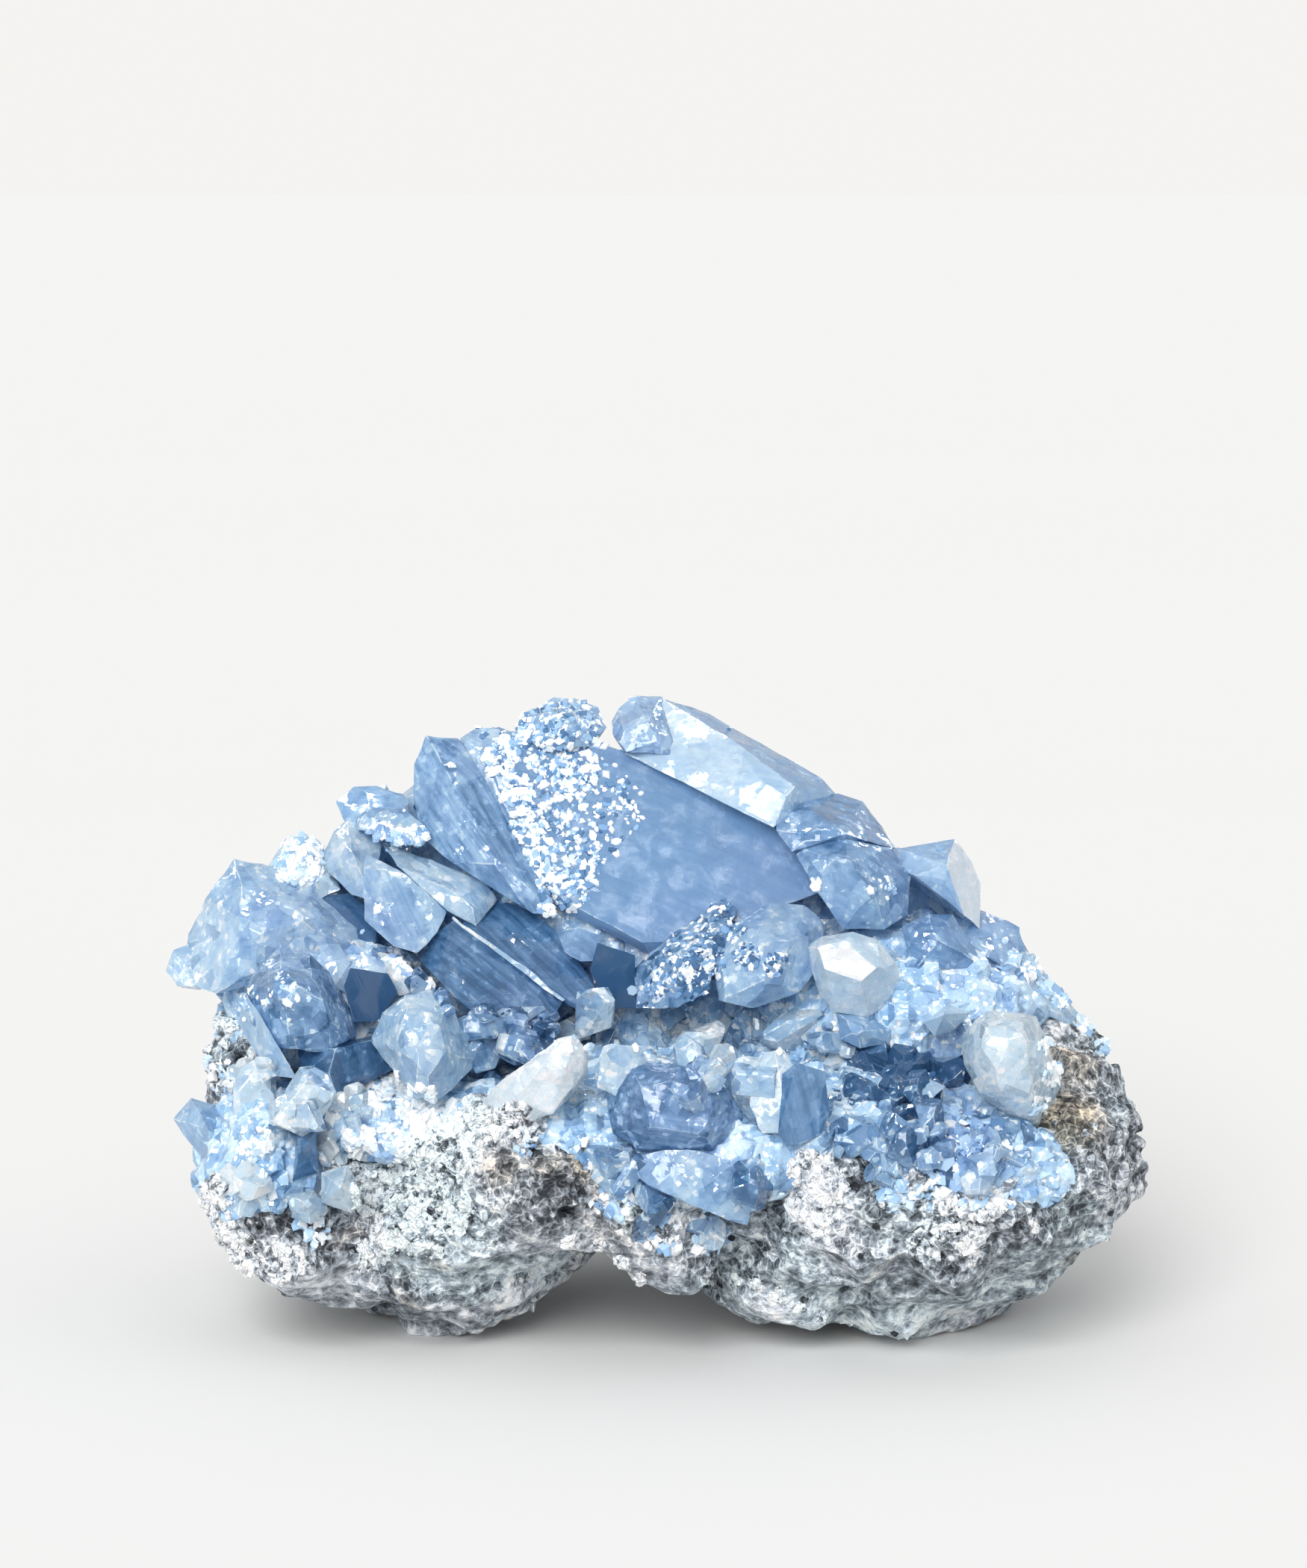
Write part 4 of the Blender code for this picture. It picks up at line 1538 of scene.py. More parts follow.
            (866, 1464, -38), (835, 1473, -40), (801, 1455, -40),
        ),
        back=10, tone=0.75, chips=8, faceting=0.9,
    ),
    SeenCrystal(
        (
            (810, 1461, -38), (843, 1423, -38), (895, 1423, -38), (943, 1434, -38), (976, 1461, -38),
            (996, 1491, -37), (986, 1520, -38), (957, 1544, -40), (914, 1541, -42), (857, 1541, -42),
            (819, 1518, -41), (857, 1456, -43.5), (909, 1446, -43.5), (952, 1470, -43.5),
            (943, 1518, -44.5), (871, 1508, -45),
        ),
        back=13, tone=0.20, chips=5, faceting=0.4, streaking=0.5,
    ),
    SeenCrystal(
        (
            (848, 1551, -42), (895, 1539, -43), (957, 1539, -42.5), (990, 1565, -41.5),
            (1009, 1608, -40.5), (1000, 1641, -40.5), (957, 1627, -43.5), (905, 1603, -44.5),
            (857, 1584, -43.5),
        ),
        back=10, tone=0.46, chips=5, faceting=0.6,
    ),
    SeenCrystal(
        (
            (1007, 1437, -36), (1023, 1411, -37), (1052, 1404, -37), (1066, 1432, -37), (1052, 1470, -39),
            (1047, 1518, -39), (1019, 1518, -39), (1004, 1480, -38),
        ),
        back=10, tone=0.75, chips=3, faceting=0.6,
    ),
    SeenCrystal(
        (
            (1047, 1437, -38), (1066, 1423, -39), (1104, 1434, -38), (1111, 1489, -37), (1095, 1532, -38),
            (1057, 1534, -40), (1043, 1518, -40),
        ),
        back=10, tone=0.22, chips=2, faceting=0.15,
    ),
    # The lit edge between the two long blades, and the deep blue crystal below them
    SeenCrystal(
        (
            (602, 1230, -8.2), (605, 1227, -8.4), (662, 1265, -11), (722, 1309, -13.4),
            (757, 1338, -14.8), (753, 1341, -15), (717, 1316, -13.6), (656, 1270, -11.2),
        ),
        back=2, tone=0.62, chips=0, faceting=0.6,
    ),
    SeenCrystal(
        (
            (632, 1374, -21), (660, 1364, -20), (700, 1366, -19), (742, 1368, -18), (748, 1396, -20),
            (735, 1424, -24), (690, 1428, -27), (652, 1404, -25), (700, 1390, -25),
        ),
        back=8, tone=0.1, chips=1, faceting=0.3,
    ),
]


@dataclass(frozen=True)
class Lobe:
    """A rounded swelling of the layer that the crystals grew from."""

    centre: Triple
    radii: Triple


@dataclass
class CrystalBed:
    """The milky layer that the crystals grew from, which lines the rock's hollow.

    Attributes:
        voxel: the size of the grid that melts its lobes together
        tone: how pale it is; it is raised so that the gaps between the crystals show less shade, partly
            painted light
        lobes: its swellings
    """

    voxel: float = 0.9
    # Pale enough that the gaps between the crystals look less shaded: partly painted light
    tone: float = 0.56
    lobes: tuple[Lobe, ...] = (
        Lobe((-2, -8, 32), (58, 31, 8)),
        Lobe((36, -18, 30), (20, 14, 6)),
        Lobe((-4, 12, 46), (40, 17, 24)),
        Lobe((-46, 4, 42), (17, 20, 14)),
        Lobe((34, 4, 42), (24, 20, 15)),
        Lobe((-54, -21, 27), (10, 14, 10)),
        Lobe((4, -32, 30), (20, 8, 7)),
        Lobe((44, -31, 27), (14, 8, 7)),
    )

    def build(self, material: bpy.types.Material) -> bpy.types.Object:
        """Makes the layer.

        Args:
            material: its finish

        Returns:
            The piece.
        """
        bm = bmesh.new()
        for lobe in self.lobes:
            place = Matrix.Translation((Vector(lobe.centre) + DRAWING_SHIFT) * MM)
            size = Matrix.Diagonal((*(radius * MM for radius in lobe.radii), 1.0))
            bmesh.ops.create_uvsphere(bm, u_segments=48, v_segments=24, radius=1.0, matrix=place @ size)
        bed = MeshShop.to_object("crystal_bed", bm)
        remesh = bed.modifiers.new("melt", "REMESH")
        remesh.mode = "VOXEL"
        remesh.voxel_size = self.voxel * MM
        MeshShop.bake(bed)
        self._roughen(bed)
        faceting = bed.data.attributes.new("faceting", "FLOAT", "POINT")
        faceting.data.foreach_set("value", [1.0] * len(bed.data.vertices))
        tone = bed.data.attributes.new("tone", "FLOAT", "POINT")
        tone.data.foreach_set("value", [self.tone] * len(bed.data.vertices))
        bed.data.materials.clear()
        bed.data.materials.append(material)
        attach(bed, ROOT_BODY)
        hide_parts("crystal_crust")
        LOG.info("crystal bed: %d triangles", MeshShop.triangles(bed))
        return bed

    @staticmethod
    def _roughen(bed: bpy.types.Object) -> None:
        """Raises blocky lumps all over the layer.

        Args:
            bed: the piece
        """
        mesh = bed.data
        normals = [vert.normal.copy() for vert in mesh.vertices]
        for vert, normal in zip(mesh.vertices, normals):
            place = vert.co / MM
            height = noise.cell(place * 0.42) * 0.9 + noise.noise(place * 0.22) * 1.2
            vert.co += normal * height * MM
        mesh.update()


@dataclass
class CrystalGrove:
    """All the large crystals, with the smaller ones that grew side by side with them."""

    crystals: list[Crystal | SeenCrystal]

    def build(self, material: bpy.types.Material, rng: Random) -> bpy.types.Object:
        """Makes the piece.

        Args:
            material: its finish
            rng: the source of small differences

        Returns:
            The piece.
        """
        bm = bmesh.new()
        carrier = bpy.data.meshes.new("carrier")
        for crystal in self.crystals:
            for part in crystal.parts(rng):
                part.to_mesh(carrier)
                part.free()
                bm.from_mesh(carrier)
        bpy.data.meshes.remove(carrier)
        grove = MeshShop.to_object("large_crystals", bm)
        grove.data.shade_smooth()
        grove.data.set_sharp_from_angle(angle=SHADING_ANGLE)
        grove.data.materials.append(material)
        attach(grove, ROOT_BODY)
        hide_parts("crystal_crust")
        LOG.info("large crystals: %d triangles", MeshShop.triangles(grove))
        return grove


@dataclass(frozen=True)
class Patch:
    """A patch of small crystals or crumbs on whatever the camera sees there.

    Attributes:
        name: what the patch is
        spots: round spots that make it up, each as a pixel across, a pixel down and a radius in pixels
        count: how many pieces it has
        size: how long a usual one is
        tone: how pale a usual one is
        white_and_glint_share: how many are pure white, which on the glitter are painted glints
    """

    name: str
    spots: tuple[Triple, ...]
    count: int
    size: float
    tone: float = 0.45
    white_and_glint_share: float = 0.4

    def pixels(self, rng: Random) -> Iterator[tuple[float, float]]:
        """Yields a pixel for each of its pieces."""
        weights = [radius * radius for _, _, radius in self.spots]
        for across, down, radius in rng.choices(self.spots, weights, k=self.count):
            reach = radius * math.sqrt(rng.random())
            angle = rng.uniform(0, math.tau)
            yield across + reach * math.cos(angle), down + reach * math.sin(angle)

    def tone_of_one(self, rng: Random) -> float:
        """Returns the tone of one of its pieces."""
        # Pure white pieces: on the glitter these are painted glints
        if rng.random() < self.white_and_glint_share:
            return rng.uniform(1.0, 1.45)
        return self.tone + rng.uniform(-0.25, 0.25)


@dataclass(frozen=True)
class Seedling:
    """One small piece to be planted: where, which way it points, how long it is and how pale."""

    place: Vector
    way: Vector
    size: float
    tone: float


class Ground:
    """The surface that small pieces are planted on.

    Attributes:
        LOWEST_SEEN: how high a place in a patch has to be for a piece to stand there
        LOWEST_LOOSE: how high it has to be for a loose piece
        WIDEST_LOOSE: how far to the left or right a loose piece may stand
        FRONT_ENDS: how far back the front reaches, on the frame's Y axis
        DOWNWARDS: the least upward share of the way that the ground faces under a loose piece
        MOST_GROWN_SEEN: how many times its usual size a piece of a patch may have
        MOST_GROWN_LOOSE: how many times its usual size a loose piece may have
    """

    LOWEST_SEEN = 1.5
    LOWEST_LOOSE = 1.8
    WIDEST_LOOSE = 64
    FRONT_ENDS = 8
    DOWNWARDS = -0.35
    MOST_GROWN_SEEN = 1.8
    MOST_GROWN_LOOSE = 1.7

    def __init__(self, pieces: list[bpy.types.Object]) -> None:
        """Takes the surface's pieces apart into triangles, in an order that is the same in each run."""
        points: list[Vector] = []
        triangles: list[tuple[int, int, int]] = []
        for piece in pieces:
            for face in piece.data.polygons:
                ring = [len(points) + index for index in face.vertices]
                start = ring.index(min(ring))
                first, *rest = ring[start:] + ring[:start]
                triangles += [(first, second, third) for second, third in zip(rest, rest[1:])]
            points += [vert.co.copy() for vert in piece.data.vertices]
        triangles.sort()
        self.tree = BVHTree.FromPolygons(points, triangles, all_triangles=True)
        self.spots: list[tuple[Vector, Vector, float]] = []
        for triangle in triangles:
            one, two, three = (points[index] for index in triangle)
            across = (two - one).cross(three - one)
            self.spots.append(((one + two + three) / 3, across.normalized(), across.length / 2))

    def seen(self, patch: Patch, rng: Random) -> Iterator[Seedling]:
        """Yields a seedling for each piece of a patch, where the camera's ray meets the surface."""
        for across, down in patch.pixels(rng):
            place, normal, _, _ = self.tree.ray_cast(SIGHT.eye() * MM, SIGHT.ray(across, down))
            if place is not None and place.z > self.LOWEST_SEEN * MM:
                grown = min(self.MOST_GROWN_SEEN, rng.lognormvariate(-0.1, 0.42))
                yield Seedling(place, normal, patch.size * grown, patch.tone_of_one(rng))

    def scattered(
        self, count: int, size: float, tone: float, rng: Random, front: float = 1.0
    ) -> Iterator[Seedling]:
        """Yields seedlings in loose clusters all over the surface, apart from its underside.

        Args:
            count: how many are tried
            size: how long a usual one is
            tone: how pale a usual one is
            rng: the source of places and sizes
            front: how dense they are on the front, as a share of the back
        """
        weights = [
            area
            * (front if place.y < self.FRONT_ENDS * MM else 1.0)
            * (normal.z > self.DOWNWARDS)
            * (place.z > self.LOWEST_LOOSE * MM)
            * (abs(place.x) < self.WIDEST_LOOSE * MM)
            for place, normal, area in self.spots
        ]
        for place, normal, _ in rng.choices(self.spots, weights, k=count):
            cluster = noise.noise(place / MM * 0.13)
            if cluster > rng.uniform(-0.25, 0.25):
                aside = Vector([rng.gauss(0, 0.7) for _ in range(3)]) * MM
                near, way, _, _ = self.tree.find_nearest(place + aside)
                grown = min(self.MOST_GROWN_LOOSE, rng.lognormvariate(0, 0.4))
                yield Seedling(near, way, size * grown, tone + rng.gauss(0, 0.3))


class Template:
    """Shapes that small pieces are copied from, each 1 mm long."""

    @staticmethod
    def tiny_crystal(rng: Random) -> bmesh.types.BMesh:
        """Cuts a tiny crystal with a chisel tip out of a block."""
        bm = bmesh.new()
        wide, thick = rng.uniform(0.45, 0.95), rng.uniform(0.35, 0.75)
        bmesh.ops.create_cube(bm, size=1.0, matrix=Matrix.Diagonal((wide, thick, 1.0, 1.0)))
        for face in (*CHISEL_FACES, *SHOULDER_FACES):
            MeshShop.cut_flat(bm, Vector((0, 0, 0.5 + rng.uniform(-0.15, 0.12))), Vector(face).normalized())
        return bm

    @staticmethod
    def flake(rng: Random) -> bmesh.types.BMesh:
        """Makes a low flake with a flat top, or now and then a tiny crystal."""
        if rng.random() < 0.1:
            return Template.tiny_crystal(rng)
        bm = bmesh.new()
        sides = rng.choice((4, 5, 6))
        bmesh.ops.create_cone(
            bm, cap_ends=True, segments=sides, radius1=0.50, radius2=rng.uniform(0.30, 0.48), depth=0.24
        )
        long = rng.uniform(1.0, 1.5)
        for vert in bm.verts:
            vert.co.x *= long * rng.uniform(0.85, 1.15)
            vert.co.y *= rng.uniform(0.7, 1.1)
            vert.co.z += vert.co.x * rng.uniform(-0.05, 0.25)
        return bm

    @staticmethod
    def shard(rng: Random) -> bmesh.types.BMesh:
        """Cuts a many-sided crystal out of a block."""
        bm = bmesh.new()
        wide, thick = rng.uniform(0.5, 1.0), rng.uniform(0.35, 0.8)
        bmesh.ops.create_cube(bm, size=1.0, matrix=Matrix.Diagonal((wide, thick, 1.5, 1.0)))
        for face in (*SIDE_FACES, *CHISEL_FACES, *SHOULDER_FACES):
            normal = Vector(face).normalized()
            support = abs(normal.x) * wide / 2 + abs(normal.y) * thick / 2 + abs(normal.z) * 0.68
            MeshShop.cut_flat(bm, normal * support * rng.uniform(0.72, 0.92), normal)
        for _ in range(4):
            normal = Vector([rng.gauss(0, 1) for _ in range(3)]).normalized()
            far = max((vert.co for vert in bm.verts), key=normal.dot)
            MeshShop.cut_flat(bm, far - normal * rng.uniform(0.08, 0.28), normal)
        look = CrystalLook(0.0, rng.uniform(0.3, 1.0), rng.uniform(0.0, 0.6), 0.16)
        CrystalTrim.finish(bm, SHARD_RIM_WIDTH, look, Matrix.Identity(4), rng)
        return bm

    @staticmethod
    def crumb(rng: Random) -> bmesh.types.BMesh:
        """Makes an angular crumb of rock."""
        bm = bmesh.new()
        bmesh.ops.create_icosphere(bm, subdivisions=1, radius=0.5)
        for vert in bm.verts:
            vert.co *= rng.uniform(0.55, 1.35)
            vert.co.z *= 0.8
        return bm


@dataclass
class SmallPieces:
    """Many small pieces that are joined in one.

    Attributes:
        name: the piece's name
        node: the CAD node that it stands for
        slot: the material slot of the record; not used
        shape: makes one of the shapes that they are copied from
        lean: how far they lean from the way that the ground faces
        sunk: how deep they stand in the ground, as a share of their length
        kinds: how many shapes they are copied from
        tone_layer: the name under which the mesh keeps how pale each piece is
    """

    name: str
    node: str
    slot: str
    shape: Callable[[Random], bmesh.types.BMesh]
    lean: float = 0.55
    sunk: float = 0.25
    kinds: int = 14
    tone_layer: str = "tone"

    def build(
        self, seedlings: Iterable[Seedling], material: bpy.types.Material, rng: Random
    ) -> bpy.types.Object:
        """Makes the piece.

        Args:
            seedlings: where each small piece goes
            material: the finish
            rng: the source of leans and shapes

        Returns:
            The piece.
        """
        shapes = [self.shape(rng) for _ in range(self.kinds)]
        bm = bmesh.new()
        carrier = bpy.data.meshes.new("carrier")
        for seedling in seedlings:
            self._plant(bm, carrier, rng.choice(shapes), seedling, rng)
        bpy.data.meshes.remove(carrier)
        bmesh.ops.recalc_face_normals(bm, faces=bm.faces)
        piece = MeshShop.to_object(self.name, bm)
        piece.data.materials.append(material)
        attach(piece, ROOT_BODY)
        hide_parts(self.node)
        LOG.info("%s: %d triangles", self.name, MeshShop.triangles(piece))
        return piece

    def _plant(
        self,
        bm: bmesh.types.BMesh,
        carrier: bpy.types.Mesh,
        shape: bmesh.types.BMesh,
        seedling: Seedling,
        rng: Random,
    ) -> None:
        """Adds one small piece.

        Args:
            bm: the whole piece
            carrier: a mesh to carry it over in
            shape: what it is copied from
            seedling: where it goes
            rng: the source of its lean
        """
        lean = Vector([rng.gauss(0, self.lean) for _ in range(3)])
        turned = (seedling.way + lean).to_track_quat("Z", "Y").to_matrix().to_4x4()
        spin = Matrix.Rotation(rng.uniform(0, math.tau), 4, "Z")
        rise = Matrix.Translation((0, 0, 0.5 - self.sunk))
        one = shape.copy()
        tones = one.faces.layers.float.get(self.tone_layer) or one.faces.layers.float.new(self.tone_layer)
        for face in one.faces:
            face[tones] += seedling.tone
        grown = Matrix.Scale(seedling.size * MM, 4)
        one.transform(Matrix.Translation(seedling.place) @ turned @ spin @ grown @ rise)
        one.to_mesh(carrier)
        one.free()
        bm.from_mesh(carrier)


GLITTER: tuple[Patch, ...] = (
    Patch(
        "left_band_of_the_great_face",
        (
            (672, 1015, 24), (690, 1060, 24), (706, 1105, 24), (722, 1145, 22), (738, 1180, 22),
            (690, 985, 20), (735, 1212, 16),
        ),
        740, 0.85, 0.34, 0.56,
    ),
    Patch(
        "top_of_the_great_face",
        ((715, 968, 28), (760, 962, 30), (800, 985, 18), (735, 1010, 32), (770, 1030, 32)),
        560, 0.8, 0.32, 0.50,
    ),
    Patch(
        "middle_of_the_great_face",
        ((745, 1070, 38), (760, 1120, 34), (780, 1160, 28), (768, 1196, 24)),
        340, 0.8, 0.32, 0.50,
    ),
    Patch(
        "loose_glitter_on_great_face",
        ((800, 1060, 46), (825, 1098, 34), (800, 1135, 28), (846, 1070, 16), (850, 1100, 14)),
        160, 0.8, 0.24, 0.5,
    ),
    Patch(
        "middle_mound",
        (
            (965, 1218, 14), (942, 1242, 18), (918, 1268, 22), (893, 1295, 22), (880, 1318, 16),
            (945, 1290, 26), (1000, 1280, 18), (985, 1245, 16), (925, 1320, 22), (1040, 1290, 18),
        ),
        500, 0.8, 0.18, 0.36,
    ),
    Patch("left_crown", ((405, 1150, 32), (388, 1165, 20)), 260, 1.1, 0.6, 0.60),
    Patch("under_the_plate", ((525, 1120, 20), (505, 1112, 12), (555, 1120, 16)), 120, 1.0, 0.5, 0.5),
    Patch("beside_the_hexagon", ((548, 1300, 16), (572, 1316, 12), (528, 1284, 12)), 90, 1.0, 0.6, 0.55),
    Patch("on_left_lump", ((330, 1345, 24), (385, 1335, 32)), 46, 0.8, 0.6, 0.6),
    Patch(
        "under_the_blades",
        ((690, 1362, 12), (730, 1366, 12), (780, 1372, 14), (640, 1372, 12)),
        70, 1.0, 0.35, 0.3,
    ),
    Patch(
        "left_lip",
        (
            (500, 1470, 24), (530, 1455, 20), (560, 1480, 28), (590, 1500, 26), (540, 1520, 30),
            (480, 1530, 22), (620, 1508, 18),
        ),
        620, 1.1, 0.9, 0.75,
    ),
    Patch(
        "left_corner",
        (
            (340, 1530, 26), (300, 1440, 24), (280, 1420, 20), (350, 1600, 22), (420, 1650, 22),
            (440, 1480, 20),
        ),
        200, 1.2, 0.65, 0.6,
    ),
    Patch(
        "floor_of_the_hollow",
        (
            (870, 1380, 30), (760, 1385, 22), (700, 1392, 22), (930, 1375, 28), (990, 1380, 28),
            (1040, 1380, 30), (1100, 1400, 30), (1130, 1430, 25),
        ),
        260, 1.0, 0.60, 0.34,
    ),
    # Dark glitter at the hollow's right end, painted dark as the shade in the cavity
    Patch("shaded_end_painted_dark", ((1200, 1440, 26), (1240, 1425, 20), (1130, 1470, 18)), 60, 1.0, 0.05, 0.12),
    Patch(
        "right_band",
        (
            (1200, 1520, 22), (1240, 1510, 26), (1280, 1515, 28), (1320, 1530, 28), (1350, 1550, 24),
            (1250, 1550, 24), (1300, 1560, 22),
        ),
        420, 1.2, 0.42, 0.22,
    ),
    Patch(
        "below_right_band",
        ((1200, 1600, 24), (1250, 1600, 24), (1300, 1595, 24), (1345, 1600, 20)),
        150, 1.2, 0.6, 0.4,
    ),
    Patch("right_edge", ((1408, 1440, 14), (1400, 1400, 10), (1395, 1480, 13)), 90, 1.1, 0.8, 0.7),
    Patch(
        "thin_crust_on_the_right",
        ((1380, 1300, 13), (1420, 1335, 14), (1455, 1370, 14), (1478, 1402, 12), (1400, 1320, 12)),
        230, 1.1, 0.6, 0.45,
    ),
    Patch("right_of_great_face", ((1096, 1180, 14), (1180, 1190, 18)), 24, 0.8, 0.5, 0.6),
    Patch(
        "middle_lip",
        (
            (820, 1600, 30), (880, 1650, 28), (950, 1655, 26), (800, 1550, 22), (770, 1520, 18),
            (700, 1530, 18),
        ),
        170, 1.1, 0.5, 0.30,
    ),
)

SHARDS: tuple[Patch, ...] = (
    # Pale enough that the hollow looks less shaded: partly painted light
    Patch(
        "floor_of_the_hollow",
        (
            (700, 1385, 26), (800, 1385, 30), (880, 1375, 30), (960, 1400, 30), (1040, 1380, 30),
            (1110, 1400, 24), (930, 1440, 28), (1000, 1450, 22),
        ),
        70, 3.6, 0.62, 0.0,
    ),
    # Dark shards at the hollow's right end, painted dark as the shade in the cavity
    Patch(
        "shaded_end_painted_dark",
        ((1170, 1440, 28), (1225, 1432, 26), (1215, 1480, 25), (1272, 1440, 14)),
        24, 3.6, -0.12, 0.0,
    ),
    Patch(
        "right_lip",
        ((1130, 1530, 25), (1180, 1560, 25), (1240, 1530, 30), (1310, 1540, 30), (1370, 1540, 20)),
        40, 3.2, 0.35, 0.0,
    ),
    Patch(
        "left_lip",
        (
            (320, 1450, 24), (360, 1450, 24), (420, 1490, 24), (450, 1540, 24), (480, 1490, 20),
            (340, 1590, 24),
        ),
        44, 3.4, 0.80, 0.0,
    ),
    Patch(
        "middle_lip",
        ((830, 1560, 24), (1005, 1580, 18), (880, 1620, 24), (950, 1640, 20)),
        22, 3.2, 0.4, 0.0,
    ),
    Patch(
        "under_the_blades",
        (
            (690, 1368, 12), (730, 1372, 12), (640, 1378, 12), (600, 1350, 9), (765, 1376, 12),
            (560, 1318, 8),
        ),
        34, 2.8, 0.15, 0.0,
    ),
)

CRUMBS: tuple[Patch, ...] = (
    Patch(
        "white_left_front",
        (
            (560, 1570, 40), (600, 1540, 36), (640, 1510, 28), (540, 1640, 40), (600, 1620, 34),
            (500, 1600, 30), (690, 1500, 24), (500, 1680, 24), (570, 1660, 24),
        ),
        1500, 1.15, 0.62, 0.55,
    ),
    Patch(
        "white_left_edge",
        ((290, 1380, 26), (285, 1640, 28), (320, 1680, 30), (290, 1600, 22), (380, 1690, 28)),
        480, 1.2, 0.75, 0.5,
    ),
    Patch(
        "right_mound",
        ((1085, 1570, 30), (1110, 1592, 26), (1078, 1610, 22), (1095, 1640, 16)),
        520, 1.1, 0.72, 0.6,
    ),
    Patch(
        "right_lip",
        ((1262, 1620, 28), (1320, 1612, 26), (1240, 1668, 24), (1295, 1655, 24)),
        360, 1.1, 0.6, 0.35,
    ),
    Patch(
        "ledge",
        (
            (760, 1662, 9), (800, 1668, 9), (832, 1690, 9), (856, 1712, 9), (950, 1712, 8),
            (985, 1716, 8), (1014, 1722, 8), (1040, 1736, 8), (1066, 1750, 8), (1100, 1762, 8),
            (1132, 1774, 8),
        ),
        330, 0.75, 0.80, 0.6,
    ),
)


@dataclass(frozen=True)
class Zone:
    """A part of the rock with a look of its own, partly painted light and shade.

    Attributes:
        centre: a pixel across, a pixel down and a depth
        reach: how far it spreads
        light: how much lighter or darker the rock is there, partly its own colour and partly painted light
            and shade
        stain: how brown it is
        swell: how far the rock bulges there
    """

    centre: Triple
    reach: float
    light: float = 0.0
    stain: float = 0.0
    swell: float = 0.0


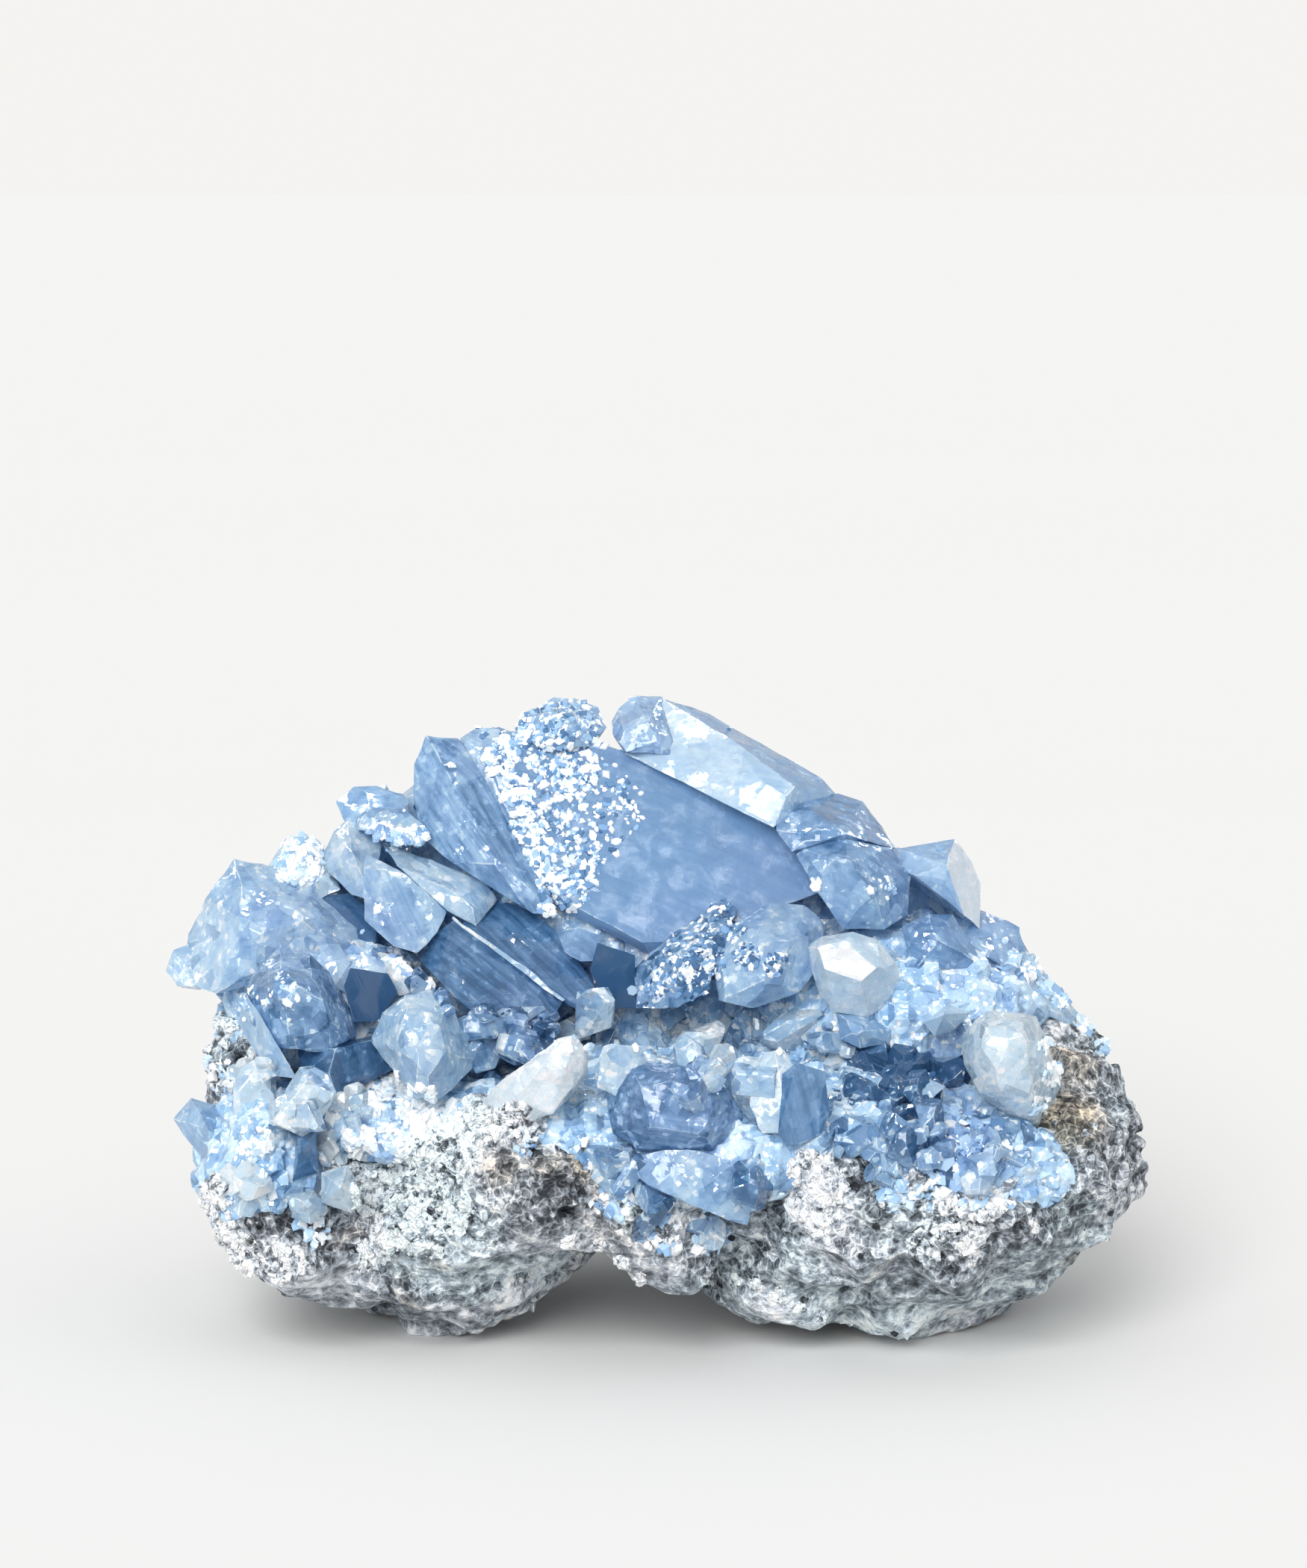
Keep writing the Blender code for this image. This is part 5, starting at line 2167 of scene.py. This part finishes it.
@dataclass
class RockShell:
    """The lumpy rock, with crumbs, pits and a layered underside.

    Attributes:
        voxel: the size of its grid
        smoothing: how often it is smoothed before the crumbs are raised
        limit: the most triangles it may have
        zones: where its colour differs, partly as painted light and shade
    """

    voxel: float = 0.60
    smoothing: int = 8
    limit: int = 196000
    zones: tuple[Zone, ...] = (
        # Lighter on the lit left front and on the underside, darker on the shaded right and in a few dark
        # spots: partly the rock's own colour, partly painted light and shade
        Zone((560, 1590, -38), 14, 0.26),
        Zone((640, 1510, -38), 10, 0.24),
        Zone((740, 1490, -40), 8, 0.20),
        Zone((290, 1390, -18), 8, 0.28),
        Zone((300, 1650, -24), 11, 0.22),
        Zone((420, 1690, -32), 9, 0.06),
        Zone((1095, 1590, -42), 8, 0.20),
        Zone((1300, 1670, -40), 12, -0.09),
        Zone((668, 1562, -42), 4, -0.04, 0.5),
        Zone((736, 1564, -42), 4, 0.0, 0.4),
        Zone((762, 1595, -40), 7, -0.16, 0.1),
        Zone((720, 1600, -40), 6, -0.08),
        Zone((830, 1640, -38), 8, -0.02, 0.2),
        Zone((1175, 1608, -38), 6, -0.42, 0.1),
        Zone((1215, 1600, -38), 4, -0.30),
        Zone((1425, 1500, -28), 8, -0.04, 1.0),
        Zone((1440, 1400, -20), 8, -0.02, 0.7),
        Zone((300, 1410, -20), 5, -0.05, 0.6),
        Zone((360, 1610, -32), 6, -0.16, 0.4),
        Zone((425, 1650, -34), 6, -0.32, 0.0),
        Zone((390, 1612, -34), 4, -0.3, 0.2),
        Zone((860, 1700, -30), 7, 0.12, 0.2),
        Zone((1480, 1480, -21), 14, -0.12),
        Zone((1430, 1630, -34), 10, -0.08),
        Zone((1215, 1762, -27), 9, 0.26),
        Zone((1310, 1742, -24), 9, 0.18),
        # The underside, where it bulges between the feet and below the rim, and where most of it is painted
        # lighter as painted light
        Zone((935, 1705, -32), 7, swell=2.2),
        Zone((975, 1740, -17), 8, 0.06, swell=2.0),
        Zone((1050, 1768, -26), 8, 0.16, swell=1.6),
        Zone((1125, 1772, -22), 8, 0.20, swell=0.4),
        Zone((1250, 1778, -16), 9, 0.10, swell=1.8),
        Zone((775, 1692, -10), 9, swell=1.2),
        Zone((660, 1768, -20), 9, swell=0.8),
        Zone((470, 1750, -20), 9, swell=0.6),
    )

    def build(self, node: bpy.types.Object, material: bpy.types.Material) -> bpy.types.Object:
        """Makes the rock from the CAD node's shape.

        Args:
            node: the CAD node that it stands for
            material: its finish

        Returns:
            The piece.
        """
        bm = bmesh.new()
        bm.from_mesh(node.data)
        bmesh.ops.remove_doubles(bm, verts=bm.verts, dist=0.01 * MM)
        bmesh.ops.recalc_face_normals(bm, faces=bm.faces)
        rock = MeshShop.to_object("rock", bm)
        remesh = rock.modifiers.new("fine_grid", "REMESH")
        remesh.mode = "VOXEL"
        remesh.voxel_size = self.voxel * MM
        smooth = rock.modifiers.new("soften", "SMOOTH")
        smooth.factor = 0.5
        smooth.iterations = self.smoothing
        MeshShop.bake(rock)
        self._crumble(rock)
        count = MeshShop.triangles(rock)
        if count > self.limit:
            thin = rock.modifiers.new("thin", "DECIMATE")
            thin.ratio = self.limit / count
            MeshShop.bake(rock)
        rock.data.materials.clear()
        rock.data.materials.append(material)
        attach(rock, ROOT_BODY)
        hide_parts("rock_shell")
        LOG.info("rock: %d triangles, from %d", MeshShop.triangles(rock), count)
        return rock

    def _crumble(self, rock: bpy.types.Object) -> None:
        """Raises crumbs and sinks pits all over the rock, and notes how light and how brown it is. The pits
        are painted darker as shade, and the zones add partly painted light and shade.

        Args:
            rock: the piece
        """
        mesh = rock.data
        normals = [vert.normal.copy() for vert in mesh.vertices]
        lights = mesh.attributes.new("light", "FLOAT", "POINT")
        stains = mesh.attributes.new("stain", "FLOAT", "POINT")
        worn = mesh.attributes.new("worn", "FLOAT", "POINT")
        spots = [(SIGHT.place(*zone.centre), zone) for zone in self.zones]
        for index, (vert, normal) in enumerate(zip(mesh.vertices, normals)):
            place = vert.co / MM
            under = max(0.0, min(1.0, (-normal.z - 0.15) * 2.5)) * max(0.0, min(1.0, (26 - place.z) / 8))
            warp = noise.noise_vector(place * 0.16) * 2.2
            knobs = noise.noise((place + warp) * 0.16)
            ledges = noise.ridged_multi_fractal((place + warp) * 0.13, 0.9, 2.1, 4, 0.9, 2.0) - 1.2
            near, centres = noise.voronoi(
                (place + warp * 0.6) * 0.44, distance_metric="DISTANCE", exponent=2.5
            )
            crumb = max(0.0, 1.0 - near[0] * 1.7) * (0.4 + noise.cell(centres[0] * 9.0) * 0.6)
            cells, middles = noise.voronoi((place - warp) * 0.20, distance_metric="DISTANCE", exponent=2.5)
            deep = 1.0 if noise.cell(middles[0] * 7.0) > -0.1 else 0.25
            pit = max(0.0, min(1.0, (0.40 - cells[0]) * 3.2)) * deep * (1.0 - 0.8 * under)
            fine = noise.noise(place * 0.85)
            layers = noise.noise(Vector((place.x * 0.03, place.y * 0.05, place.z * 0.8 + knobs * 1.0)))
            rough = 1.0 - 0.75 * under
            bumps = (knobs * 1.3 + ledges * 0.7 + crumb * 1.3 + fine * 0.45) * rough
            height = bumps - pit * 2.2 + layers * 0.5 * under
            light = 0.51 + noise.noise(place * 0.06) * 0.22
            stain = max(0.0, noise.noise(place * 0.11 + warp * 0.1) * 2.2 - 0.9)
            swell = 0.0
            for centre, zone in spots:
                share = min(1.0, max(0.0, 1.0 - (place - centre).length / zone.reach) * 1.6)
                light += zone.light * share
                stain = max(stain, zone.stain * share)
                swell = max(swell, zone.swell * share)
            vert.co += normal * (height - 0.3 * rough + swell) * MM
            vert.co.z = max(vert.co.z, 0.0)
            # The pits are painted darker, as painted shade
            lights.data[index].value = light + crumb * 0.30 * rough - pit * 0.55 + layers * 0.25 * under
            stains.data[index].value = stain
            worn.data[index].value = under
        mesh.update()


def main() -> None:
    """Builds the studio and the stone, and works out the model's box before and after."""
    logging.basicConfig(level=logging.INFO, format="%(name)s: %(message)s")
    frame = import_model()
    cad_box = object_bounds()
    rng = Random(SEED)
    # Without a seed, noise vectors start from the time of day and differ in each run
    noise.seed_set(SEED)
    Studio().build()
    rocky = RockFinish().make()
    rock = RockShell().build(frame["nodes"]["rock_shell"], rocky)
    clear = CrystalFinish("clear_blue_crystal").make()
    milky = CrystalFinish("milky_crystal", clearness=0.12, haze=0.4).make()
    sugar = CrystalFinish("sugar_crystal", clearness=0.12, gloss=0.03, haze=0.12, mottling=0.4).make()
    bed = CrystalBed().build(milky)
    grove = CrystalGrove([*SEEN_CRYSTALS, *CRYSTALS]).build(clear, rng)
    ground = Ground([grove, bed, rock])
    shards = [seedling for patch in SHARDS for seedling in ground.seen(patch, rng)]
    shards += Ground([bed]).scattered(LOOSE_SHARDS, 3.4, 0.4, rng, front=0.0)
    small = SmallPieces("small_crystals", "crystal_crust", "crystal", Template.shard, 0.6, 0.45)
    small.build(shards, clear, rng)
    glitter = [seedling for patch in GLITTER for seedling in ground.seen(patch, rng)]
    glitter += Ground([grove, bed]).scattered(LOOSE_GLITTER, 1.0, 0.6, rng, front=0.03)
    druse = SmallPieces("glitter", "crystal_crust", "crystal", Template.flake, 0.17, 0.42, 24)
    druse.build(glitter, sugar, rng)
    crumbs = [seedling for patch in CRUMBS for seedling in ground.seen(patch, rng)]
    crumbs += Ground([rock]).scattered(LOOSE_CRUMBS, 0.95, 0.55, rng)
    grit = SmallPieces("crumbs", "rock_shell", "rock", Template.crumb, 0.55, 0.5, tone_layer="light")
    grit.build(crumbs, rocky, rng)
    boxes = {"cad": cad_box, "visual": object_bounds()}
    {name: [list(corner) for corner in box] for name, box in boxes.items()}


if __name__ == "__main__":
    main()
